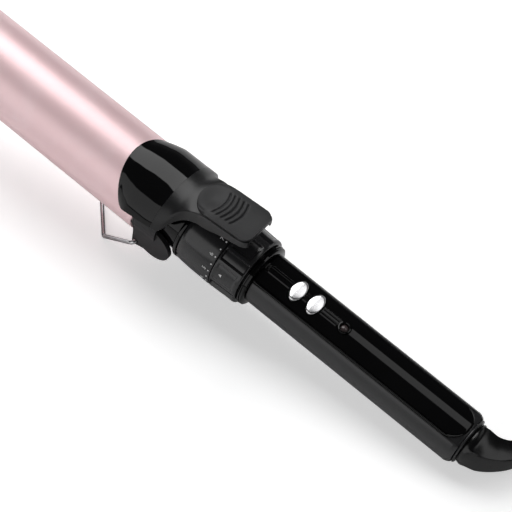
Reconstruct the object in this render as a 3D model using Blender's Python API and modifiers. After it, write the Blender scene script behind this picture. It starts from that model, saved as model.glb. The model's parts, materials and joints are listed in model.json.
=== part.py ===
"""A curling wand with a spring clip, temperature dial, swivel cord and folding wire stand.

Every piece of the wand is modelled in the wand's own frame, under the empty "wand_frame": -X runs
from the handle's rear end to the tip, Z is up through the thumb lever, and a station is the distance
from the handle's rear end. The empty leans the wand back on its stand. The cord, its hank and its plug
lie on the floor and are modelled in world space. All lengths are in metres.
"""

import math

import bmesh
import bpy
from mathutils import Matrix, Vector

# How the wand stands: leaning on its rear end and the wire stand, tip up.
LEAN = math.radians(8.0)
REAR_X = 0.16326
REAR_Z = 0.01193
GAP = 0.0003

# Barrel and clip blade.
BARREL_R = 0.0190
BARREL_WALL = 0.0012
BARREL_START = 0.1715
BARREL_END = 0.3030
TIP_END = 0.3310
BLADE_R = 0.0200
BLADE_WALL = 0.0008
BLADE_STRAIGHT_END = 0.2740
BLADE_END = 0.2990
RIVET_STATIONS = {"front": 0.1670, "rear": 0.1620}
BLADE_HALF_ANGLE = math.radians(80.0)

# Neck, number ring and dial.
NECK_R = 0.0149
SLEEVE_R = 0.0143
RING_BORE_R = 0.0146
RING_R = 0.0170
DIAL_START = 0.1145
DIAL_END = 0.1282
NUMBER_END = 0.1475
FRONT_RING_START = 0.1115

# Handle.
HANDLE_R = 0.0124
HANDLE_WALL = 0.0018
HANDLE_END = 0.1112
PANEL_HALF_WIDTH = 0.0086
PANEL_EDGE_Z = 0.0086
PANEL_CROWN_Z = 0.0106
BUTTON_STATIONS = {"button_off": 0.0840, "button_on": 0.0935}
BUTTON_HALF = (0.0033, 0.0054)
LED_STATION = 0.0682
SCREW_STATIONS = {"shell_screw_rear": 0.0300, "shell_screw_front": 0.0520}
SCREW_BOSS_R = 0.0026
SCREW_BOSS_HEIGHT = 0.0120
SCREW_BOSS_Z = 0.0036

# Clip hinge, ears and cover.
HINGE_STATION = 0.1604
HINGE_Z = -0.0072
EAR_R = 0.0103
EAR_INNER_Y = 0.0155
EAR_OUTER_Y = 0.0176
PIN_R = 0.0015
COVER_R = 0.0225

# Stand: where its wire turns in the bracket, and where the wire meets the floor.
STAND_STATION = 0.1700
STAND_Z = -0.0200
STAND_WIRE_R = 0.0010
BRACKET_HALF_WIDTH = 0.0156
FOOT_CORNER = (-0.1913, 0.0161)
FOOT_FRONT = (-0.2052, 0.0022)

# Cord, strain relief and plug.
BOOT_BEND_R = 0.0200
BOOT_BEND = math.radians(58.0)
BOOT_TAIL = 0.0220
CORD_R = 0.0030
HANK_Y = 0.01723
HANK_NEAR_X = 0.2400
HANK_FAR_X = 0.3350
HANK_OUTER_R = 0.0334
HANK_INNER_R = 0.0150
HANK_BOTTOM = 0.0002
HANK_TOP = 0.0124
HANK_LEAD_X = 0.2201
HANK_LEAD_LOW = 0.0270
PLUG_BACK_X = 0.3030
PLUG_Y = -0.00047
PLUG_Z = 0.01955
PLUG_LENGTH = 0.0360
PLUG_HALF_WIDTH = 0.0176
PLUG_THICKNESS = 0.0137
PLUG_PIN_SPACING = 0.0186
PLUG_PIN_R = 0.0020
PLUG_PIN_LENGTH = 0.0190
PLUG_RELIEF = 0.0180

# The lead's route on the floor, from the strain relief's tip to the hank, chosen by hand.
CORD_ROUTE = [
    (0.19340, 0.02840, 0.00769),
    (0.19760, 0.03518, 0.00700),
    (0.20169, 0.04033, 0.00600),
    (0.20701, 0.04425, 0.00480),
    (0.21310, 0.04669, 0.00370),
    (0.21965, 0.04753, 0.00320),
]
# Its last stretch, over the hank's top and into the plug.
TAIL_ROUTE = [
    (0.28600, 0.04753, 0.01570),
    (0.31000, 0.04753, 0.01570),
    (0.33500, 0.04753, 0.01570),
    (0.34700, 0.04431, 0.01570),
    (0.35578, 0.03553, 0.01570),
    (0.35900, 0.02353, 0.01570),
    (0.35578, 0.01153, 0.01570),
    (0.34700, 0.00275, 0.01620),
    (0.33500, -0.00047, 0.01760),
    (0.32800, -0.00047, 0.01890),
    (0.32130, -0.00047, 0.01955),
]


# ---------------------------------------------------------------- scene, collections, materials


def clear_scene():
    for old in list(bpy.data.objects):
        bpy.data.objects.remove(old, do_unlink=True)


def new_collection(name):
    collection = bpy.data.collections.new(name)
    bpy.context.scene.collection.children.link(collection)
    return collection


clear_scene()
PARTS = new_collection("curling_wand")
CUTTERS = new_collection("cutters")


def make_material(name, colour, roughness, metallic):
    made = bpy.data.materials.new(name)
    made.use_nodes = True
    shader = made.node_tree.nodes["Principled BSDF"]
    shader.inputs["Base Color"].default_value = (*colour, 1.0)
    shader.inputs["Roughness"].default_value = roughness
    shader.inputs["Metallic"].default_value = metallic
    return made


PINK = make_material("pink_ceramic", (0.78, 0.50, 0.52), 0.32, 0.35)
GLOSS = make_material("gloss_black", (0.008, 0.008, 0.009), 0.12, 0.0)
SATIN = make_material("satin_black", (0.014, 0.014, 0.015), 0.35, 0.0)
MATTE = make_material("matte_charcoal", (0.035, 0.035, 0.037), 0.60, 0.0)
CHROME = make_material("chrome", (0.80, 0.80, 0.82), 0.12, 1.0)
STEEL = make_material("spring_steel", (0.50, 0.50, 0.52), 0.28, 1.0)
BRASS = make_material("brass", (0.70, 0.52, 0.24), 0.30, 1.0)
ALUMINIUM = make_material("aluminium", (0.72, 0.73, 0.74), 0.35, 1.0)
CERAMIC = make_material("heater_ceramic", (0.62, 0.58, 0.52), 0.70, 0.0)
BOARD = make_material("circuit_board_green", (0.03, 0.16, 0.07), 0.50, 0.0)
LENS = make_material("dark_lens", (0.05, 0.01, 0.01), 0.08, 0.0)
LED_RED = make_material("led_red", (0.55, 0.03, 0.02), 0.25, 0.0)
WIRE_INSULATION = make_material("wire_insulation", (0.80, 0.80, 0.76), 0.45, 0.0)
RUBBER = make_material("cord_rubber", (0.012, 0.012, 0.013), 0.50, 0.0)


# ---------------------------------------------------------------- frames and shared shapes


WAND = bpy.data.objects.new("wand_frame", None)
PARTS.objects.link(WAND)
WAND.location = (REAR_X, 0.0, REAR_Z)
WAND.rotation_euler = (0.0, LEAN, 0.0)

# Turned pieces have their profile's axis along Z; this lays that axis along the wand, towards the tip.
ALONG_WAND = Matrix.Rotation(-math.pi / 2, 4, "Y")
# Flat outlines are drawn as (-station, z); this stands them up, facing along Y.
UPRIGHT = Matrix.Rotation(math.pi / 2, 4, "X")


def at(station, y=0.0, z=0.0):
    """A point of the wand's frame."""
    return Vector((-station, y, z))


def world(station, y=0.0, z=0.0):
    """The same point in world space."""
    return Matrix.Translation(WAND.location) @ Matrix.Rotation(LEAN, 4, "Y") @ at(station, y, z)


def add_part(name, data, mat, parent=WAND):
    made = bpy.data.objects.new(name, data)
    PARTS.objects.link(made)
    made.parent = parent
    data.materials.append(mat)
    return made


def smooth(mesh, degrees=35.0):
    mesh.shade_smooth()
    mesh.set_sharp_from_angle(angle=math.radians(degrees))


def mesh_of(name, build):
    """A mesh filled by build(bm), with its faces pointing out."""
    mesh = bpy.data.meshes.new(name)
    bm = bmesh.new()
    build(bm)
    bmesh.ops.recalc_face_normals(bm, faces=bm.faces)
    bm.to_mesh(mesh)
    bm.free()
    smooth(mesh)
    return mesh


def turned(name, profile, mat, steps=32, closed=True, parent=WAND):
    """A turned piece. Its profile is (station, radius) pairs, down the outer side from the tip end."""
    mesh = bpy.data.meshes.new(name)
    points = [(radius, 0.0, station) for station, radius in profile]
    edges = [(i, i + 1) for i in range(len(points) - 1)]
    if closed:
        edges.append((len(points) - 1, 0))
    mesh.from_pydata(points, edges, [])
    made = add_part(name, mesh, mat, parent)
    made.matrix_local = ALONG_WAND
    screw = made.modifiers.new("turn", "SCREW")
    screw.axis = "Z"
    screw.steps = steps
    screw.render_steps = steps
    screw.use_merge_vertices = True
    screw.merge_threshold = 0.00001
    return made


def tube_ring(name, start, end, inner_r, outer_r, mat, steps=32, bevel=0.0003):
    """A turned ring with chamfered outer edges."""
    profile = [
        (end, inner_r),
        (end, outer_r - bevel),
        (end - bevel, outer_r),
        (start + bevel, outer_r),
        (start, outer_r - bevel),
        (start, inner_r),
    ]
    return turned(name, profile, mat, steps)


def cylinder_mesh(name, radius, length, segments=24):
    def build(bm):
        bmesh.ops.create_cone(
            bm, cap_ends=True, segments=segments, radius1=radius, radius2=radius, depth=length
        )

    return mesh_of(name, build)


def box(name, centre, size, mat, bevel=0.0003):
    """A bevelled box in the wand's frame: size is (along, across, up)."""

    def build(bm):
        bmesh.ops.create_cube(bm, size=1.0, matrix=Matrix.Diagonal((*size, 1.0)))

    made = add_part(name, mesh_of(name, build), mat)
    made.location = centre
    if bevel:
        edge = made.modifiers.new("edges", "BEVEL")
        edge.width = bevel
        edge.segments = 1
    return made


def shell_loft(name, outer, inner, mat, parent=WAND):
    """A curved wall between two grids of points: outer and inner hold the same rows and columns."""
    rows = len(outer)
    columns = len(outer[0])

    def build(bm):
        grids = [[[bm.verts.new(p) for p in row] for row in grid] for grid in (outer, inner)]
        for grid in grids:
            for r in range(rows - 1):
                for c in range(columns - 1):
                    bm.faces.new((grid[r][c], grid[r][c + 1], grid[r + 1][c + 1], grid[r + 1][c]))
        top, under = grids
        for r in (0, rows - 1):
            for c in range(columns - 1):
                bm.faces.new((top[r][c], top[r][c + 1], under[r][c + 1], under[r][c]))
        for c in (0, columns - 1):
            for r in range(rows - 1):
                bm.faces.new((top[r][c], top[r + 1][c], under[r + 1][c], under[r][c]))

    return add_part(name, mesh_of(name, build), mat, parent)


def ring_loft(name, rings, mat, parent=WAND):
    """A solid through closed rings of equal point counts, capped at both ends."""

    def build(bm):
        made = [[bm.verts.new(p) for p in ring] for ring in rings]
        count = len(rings[0])
        for low, high in zip(made, made[1:]):
            for i in range(count):
                j = (i + 1) % count
                bm.faces.new((low[i], low[j], high[j], high[i]))
        bm.faces.new(made[0])
        bm.faces.new(made[-1])

    return add_part(name, mesh_of(name, build), mat, parent)


def as_mesh(curve_object, name):
    """The curve object's shape as a welded mesh, in the same place; the curve is removed."""
    bpy.context.view_layer.update()
    graph = bpy.context.evaluated_depsgraph_get()
    mesh = bpy.data.meshes.new_from_object(curve_object.evaluated_get(graph))
    bm = bmesh.new()
    bm.from_mesh(mesh)
    bmesh.ops.remove_doubles(bm, verts=bm.verts, dist=0.00001)
    bm.to_mesh(mesh)
    bm.free()
    placed = curve_object.matrix_local.copy()
    bpy.data.objects.remove(curve_object)
    return mesh, placed


def wire(name, points, radius, mat, parent=WAND, resolution=2):
    """A round wire or tube along points, with filled ends."""
    curve = bpy.data.curves.new(name, "CURVE")
    curve.dimensions = "3D"
    curve.bevel_depth = radius
    curve.bevel_resolution = resolution
    curve.use_fill_caps = True
    spline = curve.splines.new("POLY")
    spline.points.add(len(points) - 1)
    for spot, point in zip(spline.points, points):
        spot.co = (*point, 1.0)
    return add_part(name, curve, mat, parent)


def plate_mesh(name, outline, half_thickness):
    """An extruded flat outline of (station, z) points, standing along the wand, as a mesh."""
    curve = bpy.data.curves.new(name, "CURVE")
    curve.dimensions = "2D"
    curve.fill_mode = "BOTH"
    curve.extrude = half_thickness
    spline = curve.splines.new("POLY")
    spline.points.add(len(outline) - 1)
    spline.use_cyclic_u = True
    for spot, (station, z) in zip(spline.points, outline):
        spot.co = (-station, z, 0.0, 1.0)
    guide = bpy.data.objects.new(name + "_outline", curve)
    PARTS.objects.link(guide)
    mesh, _ = as_mesh(guide, name)
    return mesh


def add_cutter(name, mesh, placed, parent=WAND):
    made = bpy.data.objects.new(name, mesh)
    CUTTERS.objects.link(made)
    made.parent = parent
    made.matrix_local = placed
    made.hide_render = True
    made.display_type = "WIRE"
    return made


def boolean(target, other, operation="DIFFERENCE"):
    change = target.modifiers.new(other.name, "BOOLEAN")
    change.operation = operation
    change.object = other


def cross_cutter(name, station, z, radius, length, y=0.0, segments=24):
    """A cylinder across the wand, along Y."""
    placed = Matrix.Translation(at(station, y, z)) @ Matrix.Rotation(math.pi / 2, 4, "X")
    return add_cutter(name, cylinder_mesh(name, radius, length, segments), placed)


def long_cutter(name, start, end, radius, segments=48):
    """A cylinder along the wand's axis."""
    placed = Matrix.Translation(at((start + end) / 2)) @ ALONG_WAND
    return add_cutter(name, cylinder_mesh(name, radius, end - start, segments), placed)


def up_cutter(name, station, low, high, radius, y=0.0, segments=24):
    """A cylinder along the wand's up direction."""
    placed = Matrix.Translation(at(station, y, (low + high) / 2))
    return add_cutter(name, cylinder_mesh(name, radius, high - low, segments), placed)


def clock(radius, angle):
    """(y, z) at an angle from straight up, positive towards -Y."""
    return -radius * math.sin(angle), radius * math.cos(angle)


def spread(low, high, count):
    return [low + (high - low) * i / (count - 1) for i in range(count)]


def interpolate(pairs, x):
    """The value at x of a line through (x, value) pairs in rising x."""
    if x <= pairs[0][0]:
        return pairs[0][1]
    for (x0, v0), (x1, v1) in zip(pairs, pairs[1:]):
        if x <= x1:
            return v0 + (v1 - v0) * (x - x0) / (x1 - x0)
    return pairs[-1][1]


def rounded_path(corners, radius, steps=4):
    """Corners joined by straight runs, each inner corner turned on an arc of about this radius."""
    path = [Vector(corners[0])]
    for before, corner, after in zip(corners, corners[1:], corners[2:]):
        before, corner, after = Vector(before), Vector(corner), Vector(after)
        back = (before - corner).normalized()
        ahead = (after - corner).normalized()
        half = back.angle(ahead) / 2
        reach = min(radius / math.tan(half), (before - corner).length / 2, (after - corner).length / 2)
        start, end = corner + back * reach, corner + ahead * reach
        for i in range(steps + 1):
            t = i / steps
            path.append((1 - t) ** 2 * start + 2 * t * (1 - t) * corner + t * t * end)
    path.append(Vector(corners[-1]))
    return path


def smooth_route(points, spacing):
    """Points about this far apart on a smooth curve through a route's own points."""
    points = [Vector(p) for p in points]
    ends = [2 * points[0] - points[1]] + points + [2 * points[-1] - points[-2]]
    made = []
    for a, b, c, d in zip(ends, ends[1:], ends[2:], ends[3:]):
        count = max(1, round((c - b).length / spacing))
        for i in range(count):
            t = i / count
            made.append(
                0.5 * (2 * b + (c - a) * t + (2 * a - 5 * b + 4 * c - d) * t**2)
                + 0.5 * (3 * b - a - 3 * c + d) * t**3
            )
    made.append(points[-1])
    return made


# ---------------------------------------------------------------- barrel, tip and heater


def make_barrel():
    tube_ring(
        "barrel", BARREL_START, BARREL_END, BARREL_R - BARREL_WALL, BARREL_R, PINK, 48, 0.0002
    )
    tip = [
        (TIP_END, 0.0),
        (TIP_END, 0.0095),
        (TIP_END - 0.0012, 0.0118),
        (TIP_END - 0.0040, 0.0130),
        (BARREL_END + 0.0120, 0.0138),
        (BARREL_END + 0.0060, 0.0168),
        (BARREL_END + 0.0030, 0.0186),
        (BARREL_END + GAP, 0.0186),
        (BARREL_END + GAP, BARREL_R - BARREL_WALL - GAP),
        (BARREL_END - 0.0060, BARREL_R - BARREL_WALL - GAP),
        (BARREL_END - 0.0060, 0.0),
    ]
    turned("cool_tip", tip, SATIN, closed=False)
    tube_ring("barrel_seat", 0.1720, 0.1840, 0.0116, BARREL_R - BARREL_WALL - GAP, CERAMIC, 32)


def half_round(name, sign):
    """One aluminium half that carries the heat from the ceramic heater to the barrel's wall."""
    flat, radius = 0.0024, BARREL_R - BARREL_WALL - GAP
    start = math.acos(flat / radius)
    outline = [clock(radius, a) for a in spread(-start, start, 15)]
    rings = [[at(s, y, sign * z) for y, z in outline] for s in (0.1920, 0.2920)]
    ring_loft(name, rings, ALUMINIUM)


def make_heater():
    half_round("heat_spreader_upper", 1)
    half_round("heat_spreader_lower", -1)
    box("ptc_heater", at(0.2420), (0.0920, 0.0240, 0.0040), CERAMIC)
    fuse = [(0.1690, 0.0), (0.1690, 0.0018), (0.1570, 0.0018), (0.1570, 0.0)]
    made = turned("thermal_fuse", fuse, ALUMINIUM, 16, closed=False)
    made.location = at(0.0, 0.0, 0.0060)
    bead = [(0.1900, 0.0), (0.1900, 0.0012), (0.1850, 0.0012), (0.1850, 0.0)]
    made = turned("temperature_sensor", bead, CERAMIC, 12, closed=False)
    made.location = at(0.0, 0.0, 0.0045)


def make_leads():
    """Three insulated leads from the circuit board through the neck to the heater."""
    routes = {
        "wire_live": [(0.1020, -0.0040, 0.0020), (0.1250, -0.0050, -0.0010), (0.1900, -0.0060, 0.0)],
        "wire_neutral": [(0.1020, 0.0040, 0.0020), (0.1250, 0.0050, -0.0010), (0.1900, 0.0060, 0.0)],
        "sensor_wire": [(0.1020, 0.0, 0.0030), (0.1250, 0.0, 0.0010), (0.1845, 0.0, 0.0015)],
    }
    for name, route in routes.items():
        points = smooth_route([at(*p) for p in route], 0.0080)
        wire(name, points, 0.0008, WIRE_INSULATION)


# ---------------------------------------------------------------- neck, number ring and dial


def spring_pocket(name, sign):
    """The round room for one torsion spring, open towards its ear."""
    return cross_cutter(name, HINGE_STATION, HINGE_Z, 0.0034, 0.0060, sign * 0.0158)


def make_neck():
    """The tube that joins handle and barrel; the rings sit on its sleeve, the hinge pins in its sides."""
    bore, spigot = 0.0100, 0.0113
    profile = [
        (0.1840, spigot),
        (BARREL_START - GAP, spigot),
        (BARREL_START - GAP, NECK_R),
        (0.1500, NECK_R),
        (0.1500, 0.0166),
        (NUMBER_END + GAP, 0.0166),
        (NUMBER_END + GAP, SLEEVE_R),
        (0.1255, SLEEVE_R),
        (0.1255, 0.0122),
        (0.1185, 0.0122),
        (0.1185, SLEEVE_R),
        (DIAL_START - GAP, SLEEVE_R),
        (DIAL_START - GAP, 0.0087),
        (0.1030, 0.0087),
        (0.1030, 0.0072),
        (0.1300, 0.0072),
        (0.1340, bore),
        (0.1840, bore),
    ]
    neck = turned("neck_housing", profile, GLOSS, 40)
    boolean(neck, cross_cutter("pin_holes", HINGE_STATION, HINGE_Z, PIN_R + 0.0002, 0.0400))
    boolean(neck, up_cutter("neck_thread", 0.1620, -0.0180, -0.0115, 0.0012, segments=12))
    for side, sign in (("near", -1), ("far", 1)):
        boolean(neck, spring_pocket("neck_pocket_" + side, sign))


def make_rings():
    number = [
        (NUMBER_END, RING_BORE_R),
        (NUMBER_END, 0.0163),
        (NUMBER_END - 0.0012, 0.0167),
        (DIAL_END + 2 * GAP, RING_R),
        (DIAL_END + GAP, RING_R - GAP),
        (DIAL_END + GAP, RING_BORE_R),
    ]
    turned("number_ring", number, SATIN, 40)
    dial = [
        (DIAL_END, RING_BORE_R),
        (DIAL_END, RING_R - GAP),
        (DIAL_END - GAP, RING_R),
        (DIAL_START + 0.0045, 0.0168),
        (DIAL_START + 0.0008, 0.0157),
        (DIAL_START, 0.0152),
        (DIAL_START, RING_BORE_R),
    ]
    turned("dial_ring", dial, SATIN, 40)
    tube_ring("front_ring", FRONT_RING_START, DIAL_START - 2 * GAP, 0.0091, 0.0152, GLOSS, 32)


def arc_strip(name, start, end, inner_r, outer_r, low, high, count, mat):
    """A curved strip round the wand's axis, between two clock angles."""
    angles = spread(low, high, count)
    outer = [[at(s, *clock(outer_r, a)) for a in angles] for s in (start, end)]
    inner = [[at(s, *clock(inner_r, a)) for a in angles] for s in (start, end)]
    shell_loft(name, outer, inner, mat)


def make_potentiometer():
    arc_strip("resistor_track", 0.1190, 0.1250, 0.0125, 0.0132, -2.6, 2.6, 21, CERAMIC)
    arc_strip("dial_wiper", 0.1200, 0.1240, 0.0135, 0.0143, -0.2, 0.2, 4, BRASS)


# ---------------------------------------------------------------- handle


def make_lower_shell():
    """The handle's lower shell: most of a tube, open at the top for the panel, narrowed at the rear."""
    start = math.radians(47.5)
    angles = spread(start, 2 * math.pi - start, 25)
    profile = [(0.0, 0.0112), (0.0025, HANDLE_R), (HANDLE_END, HANDLE_R)]
    outer = [[at(s, *clock(r, a)) for a in angles] for s, r in profile]
    inner = [[at(s, *clock(HANDLE_R - HANDLE_WALL, a)) for a in angles] for s, _ in profile]
    inner[0] = [at(0.0, *clock(0.0101, a)) for a in angles]
    shell = shell_loft("handle_lower_shell", outer, inner, SATIN)
    for name, station in SCREW_STATIONS.items():
        boolean(shell, up_cutter(name + "_hole", station, -0.0200, -0.0070, 0.0028, segments=16))
    return shell


def panel_height(y):
    """The top panel's crowned surface across the handle."""
    return PANEL_CROWN_Z - (PANEL_CROWN_Z - PANEL_EDGE_Z) * (y / PANEL_HALF_WIDTH) ** 2


def oval(station, half_along, half_across, z, count=28):
    turns = [2 * math.pi * i / count for i in range(count)]
    return [at(station - half_along * math.sin(t), half_across * math.cos(t), z) for t in turns]


def make_top_panel():
    """The glossy panel that closes the handle, with button holes, a lens hole and two screw bosses."""
    across = spread(-PANEL_HALF_WIDTH, PANEL_HALF_WIDTH, 13)
    stations = (0.0006, HANDLE_END)
    outer = [[at(s, y, panel_height(y)) for y in across] for s in stations]
    inner = [[at(s, 0.85 * y, panel_height(y) - 0.0016) for y in across] for s in stations]
    panel = shell_loft("handle_top_panel", outer, inner, GLOSS)
    for name, station in SCREW_STATIONS.items():
        boss_mesh = cylinder_mesh(name + "_boss", SCREW_BOSS_R, SCREW_BOSS_HEIGHT, 16)
        place = Matrix.Translation(at(station, 0, SCREW_BOSS_Z))
        boss = add_cutter(name + "_boss", boss_mesh, place)
        boolean(panel, boss, "UNION")
        boolean(panel, up_cutter(name + "_pilot", station, -0.0100, 0.0060, 0.0013, segments=12))
    along, wide = BUTTON_HALF
    for name, station in BUTTON_STATIONS.items():
        rings = [oval(station, along + GAP, wide + GAP, z) for z in (0.0050, 0.0150)]
        cut = ring_loft(name + "_hole", rings, GLOSS)
        PARTS.objects.unlink(cut)
        CUTTERS.objects.link(cut)
        cut.hide_render = True
        cut.display_type = "WIRE"
        boolean(panel, cut)
    boolean(panel, up_cutter("lens_hole", LED_STATION, 0.0050, 0.0150, 0.0032))


def make_track():
    """The narrow raised strip along the panel, in front of the buttons and behind them."""
    for name, start, end in (("track_front", 0.0975, 0.1105), ("track_rear", 0.0722, 0.0802)):
        across = spread(-0.0022, 0.0022, 5)
        outer = [[at(s, y, panel_height(y) + 0.0009) for y in across] for s in (start, end)]
        inner = [[at(s, y, panel_height(y) + GAP) for y in across] for s in (start, end)]
        shell_loft(name, outer, inner, CHROME)


def make_buttons():
    """Two oval push buttons; each slides straight down onto its switch."""
    along, wide = BUTTON_HALF
    levels = [(0.55, 0.0062), (1.0, 0.0063), (1.0, 0.0106), (0.90, 0.0112), (0.60, 0.0116)]
    for name, station in BUTTON_STATIONS.items():
        rings = [oval(station, along * k, wide * k, z, 24) for k, z in levels]
        ring_loft(name, rings, CHROME)


def up_turned(name, station, profile, mat, steps=24, closed=True):
    """A piece turned about the wand's up direction. Its profile is (z, radius) pairs from the top."""
    made = turned(name, profile, mat, steps, closed)
    made.matrix_local = Matrix.Translation(at(station))
    return made


def make_controls():
    up_turned(
        "led_bezel",
        LED_STATION,
        [(0.0110, 0.0019), (0.0110, 0.0026), (0.0107, 0.0029), (0.0080, 0.0029), (0.0080, 0.0019)],
        CHROME,
    )
    lens = [(0.0109, 0.0), (0.0108, 0.0010), (0.0105, 0.0016), (0.0084, 0.0016), (0.0084, 0.0)]
    up_turned("led_lens", LED_STATION, lens, LENS, 16, closed=False)
    led = [(0.0080, 0.0), (0.0076, 0.0009), (0.0068, 0.0014), (0.0033, 0.0014), (0.0033, 0.0)]
    up_turned("status_led", LED_STATION, led, LED_RED, 12, closed=False)
    box("circuit_board", at(0.0820, 0.0, 0.0022), (0.0380, 0.0150, 0.0012), BOARD, 0.0)
    for name, station in BUTTON_STATIONS.items():
        box("switch_" + name[7:], at(station, 0.0, 0.0040), (0.0060, 0.0060, 0.0016), STEEL, 0.0)
    box("power_triac", at(0.0780, 0.0, -0.0020), (0.0100, 0.0090, 0.0040), SATIN, 0.0)


def make_screws():
    for name, station in SCREW_STATIONS.items():
        profile = [
            (0.0030, 0.0),
            (0.0030, 0.0010),
            (-0.0072, 0.0010),
            (-0.0072, 0.0024),
            (-0.0088, 0.0024),
            (-0.0088, 0.0),
        ]
        up_turned(name, station, profile, STEEL, 12, closed=False)


# ---------------------------------------------------------------- swivel and strain relief


def make_swivel():
    """The end cap, and the spindle that turns in it and carries two slip rings."""
    cap = [
        (0.0080, 0.0062),
        (0.0080, 0.0085),
        (-GAP, 0.0085),
        (-GAP, 0.0108),
        (-0.0008, 0.0108),
        (-0.0012, 0.0104),
        (-0.0012, 0.0062),
    ]
    turned("end_cap", cap, SATIN, 32)
    spindle = [
        (0.0220, 0.0),
        (0.0220, 0.0034),
        (0.0100, 0.0034),
        (0.0100, 0.0074),
        (0.0083, 0.0074),
        (0.0083, 0.0059),
        (-0.0012, 0.0059),
        (-0.0012, 0.0),
    ]
    turned("swivel_spindle", spindle, MATTE, 24, closed=False)
    for name, station in (("slip_ring_live", 0.0120), ("slip_ring_neutral", 0.0170)):
        tube_ring(name, station, station + 0.0030, 0.0037, 0.0046, BRASS, 20, 0.0001)
    for name, station, side in (("contact_live", 0.0135, -1), ("contact_neutral", 0.0185, 1)):
        box(name, at(station, side * 0.0052, 0.0), (0.0020, 0.0006, 0.0060), BRASS, 0.0)


def boot_point(distance):
    """The strain relief's centre line and heading: an arc towards +Y, then straight."""
    arc = BOOT_BEND_R * BOOT_BEND
    turn = min(distance, arc) / BOOT_BEND_R
    spot = Vector((BOOT_BEND_R * math.sin(turn), BOOT_BEND_R * (1 - math.cos(turn)), 0.0))
    ahead = Vector((math.cos(turn), math.sin(turn), 0.0))
    return spot + ahead * max(0.0, distance - arc), ahead


def make_boot():
    length = BOOT_BEND_R * BOOT_BEND + BOOT_TAIL
    radii = [
        (0.0000, 0.0094),
        (0.0006, 0.0100),
        (0.0060, 0.0098),
        (0.0120, 0.0078),
        (0.0200, 0.0058),
        (length, 0.0045),
    ]
    rings = []
    for distance in [0.0, 0.0006, 0.003, 0.006, 0.009, 0.012, 0.015, 0.0175, 0.0202, 0.028, 0.036, length]:
        spot, ahead = boot_point(distance)
        side = Vector((-ahead.y, ahead.x, 0.0))
        radius = interpolate(radii, distance)
        ring = []
        for i in range(20):
            turn = 2 * math.pi * i / 20
            ring.append(
                at(-0.0016) + spot + radius * (math.cos(turn) * side + math.sin(turn) * Vector((0, 0, 1)))
            )
        rings.append(ring)
    ring_loft("cord_boot", rings, RUBBER)


# ---------------------------------------------------------------- clip


def blade_span(angle):
    """Where the blade starts and ends at one clock angle: a tang, wide shoulders, a rounded end."""
    tang = math.radians(48.0)
    start = 0.1585 if abs(angle) < tang else 0.1705 + 0.0040 * (abs(angle) - tang) / (BLADE_HALF_ANGLE - tang)
    reach = math.sqrt(max(0.0, 1 - (angle / BLADE_HALF_ANGLE) ** 2))
    return start, BLADE_STRAIGHT_END + (BLADE_END - BLADE_STRAIGHT_END) * reach


def make_blade():
    half = [80.0, 79.2, 77.5, 74.5, 70.0, 64.0, 56.0, 49.0, 47.0, 40.0, 32.0, 24.0, 16.0, 8.0]
    angles = [math.radians(a) for a in half + [0.0] + [-a for a in reversed(half)]]
    spans = [blade_span(a) for a in angles]
    inner_r = BLADE_R - BLADE_WALL
    outer = [[at(span[i], *clock(BLADE_R, a)) for span, a in zip(spans, angles)] for i in (0, 1)]
    inner = [[at(span[i], *clock(inner_r, a)) for span, a in zip(spans, angles)] for i in (0, 1)]
    blade = shell_loft("clip_blade", outer, inner, PINK)
    for name, station in RIVET_STATIONS.items():
        boolean(blade, up_cutter("blade_hole_" + name, station, 0.0160, 0.0240, 0.0013, segments=16))


def make_frame():
    """The clip's frame: a half ring over the neck with a round ear on each side for the hinge pins."""
    half = math.radians(96.0)
    angles = spread(-half, half, 33)
    stations = (0.1580, 0.1705)
    outer = [[at(s, *clock(0.0189, a)) for a in angles] for s in stations]
    inner = [[at(s, *clock(0.0169, a)) for a in angles] for s in stations]
    frame = shell_loft("clip_frame", outer, inner, MATTE)
    middle = (EAR_INNER_Y + EAR_OUTER_Y) / 2
    for side, y in (("near", -middle), ("far", middle)):
        ear = cross_cutter(
            "ear_" + side, HINGE_STATION, HINGE_Z, EAR_R, EAR_OUTER_Y - EAR_INNER_Y, y, 40
        )
        boolean(frame, ear, "UNION")
    boolean(frame, cross_cutter("ear_bores", HINGE_STATION, HINGE_Z, PIN_R + 0.0002, 0.0340))
    for name, station in RIVET_STATIONS.items():
        boolean(frame, up_cutter("frame_hole_" + name, station, 0.0150, 0.0240, 0.0013, segments=16))
        rivet = [
            (0.0206, 0.0),
            (0.0206, 0.0016),
            (0.0203, 0.0021),
            (0.02015, 0.0021),
            (0.02015, 0.0010),
            (0.0166, 0.0010),
            (0.0166, 0.0),
        ]
        up_turned("blade_rivet_" + name, station, rivet, STEEL, 12, closed=False)


# The cover's outline seen from above, as its half angle round the barrel at each station.
COVER_SPAN = [
    (0.1380, 25.0),
    (0.1434, 26.0),
    (0.1481, 33.0),
    (0.1505, 39.5),
    (0.1523, 44.0),
    (0.1562, 62.7),
    (0.1800, 71.0),
]
LEVER_HALF_WIDTH = 0.0098
LEVER_TOP = [(0.1178, 0.0327), (0.1380, 0.0302), (0.1500, 0.0270), (0.1560, 0.0240), (0.1620, COVER_R)]
LEVER_EDGE = [(0.1178, 0.0285), (0.1244, 0.0273), (0.1336, 0.0240), (0.1380, 0.0214), (0.1434, 0.0202)]
COVER_FRONT = 0.1881
COVER_WALL = [(0.1178, 0.0018), (0.1740, 0.0015), (0.1820, 0.0010), (COVER_FRONT, 0.0004)]
COVER_SLANT = 0.63


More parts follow.
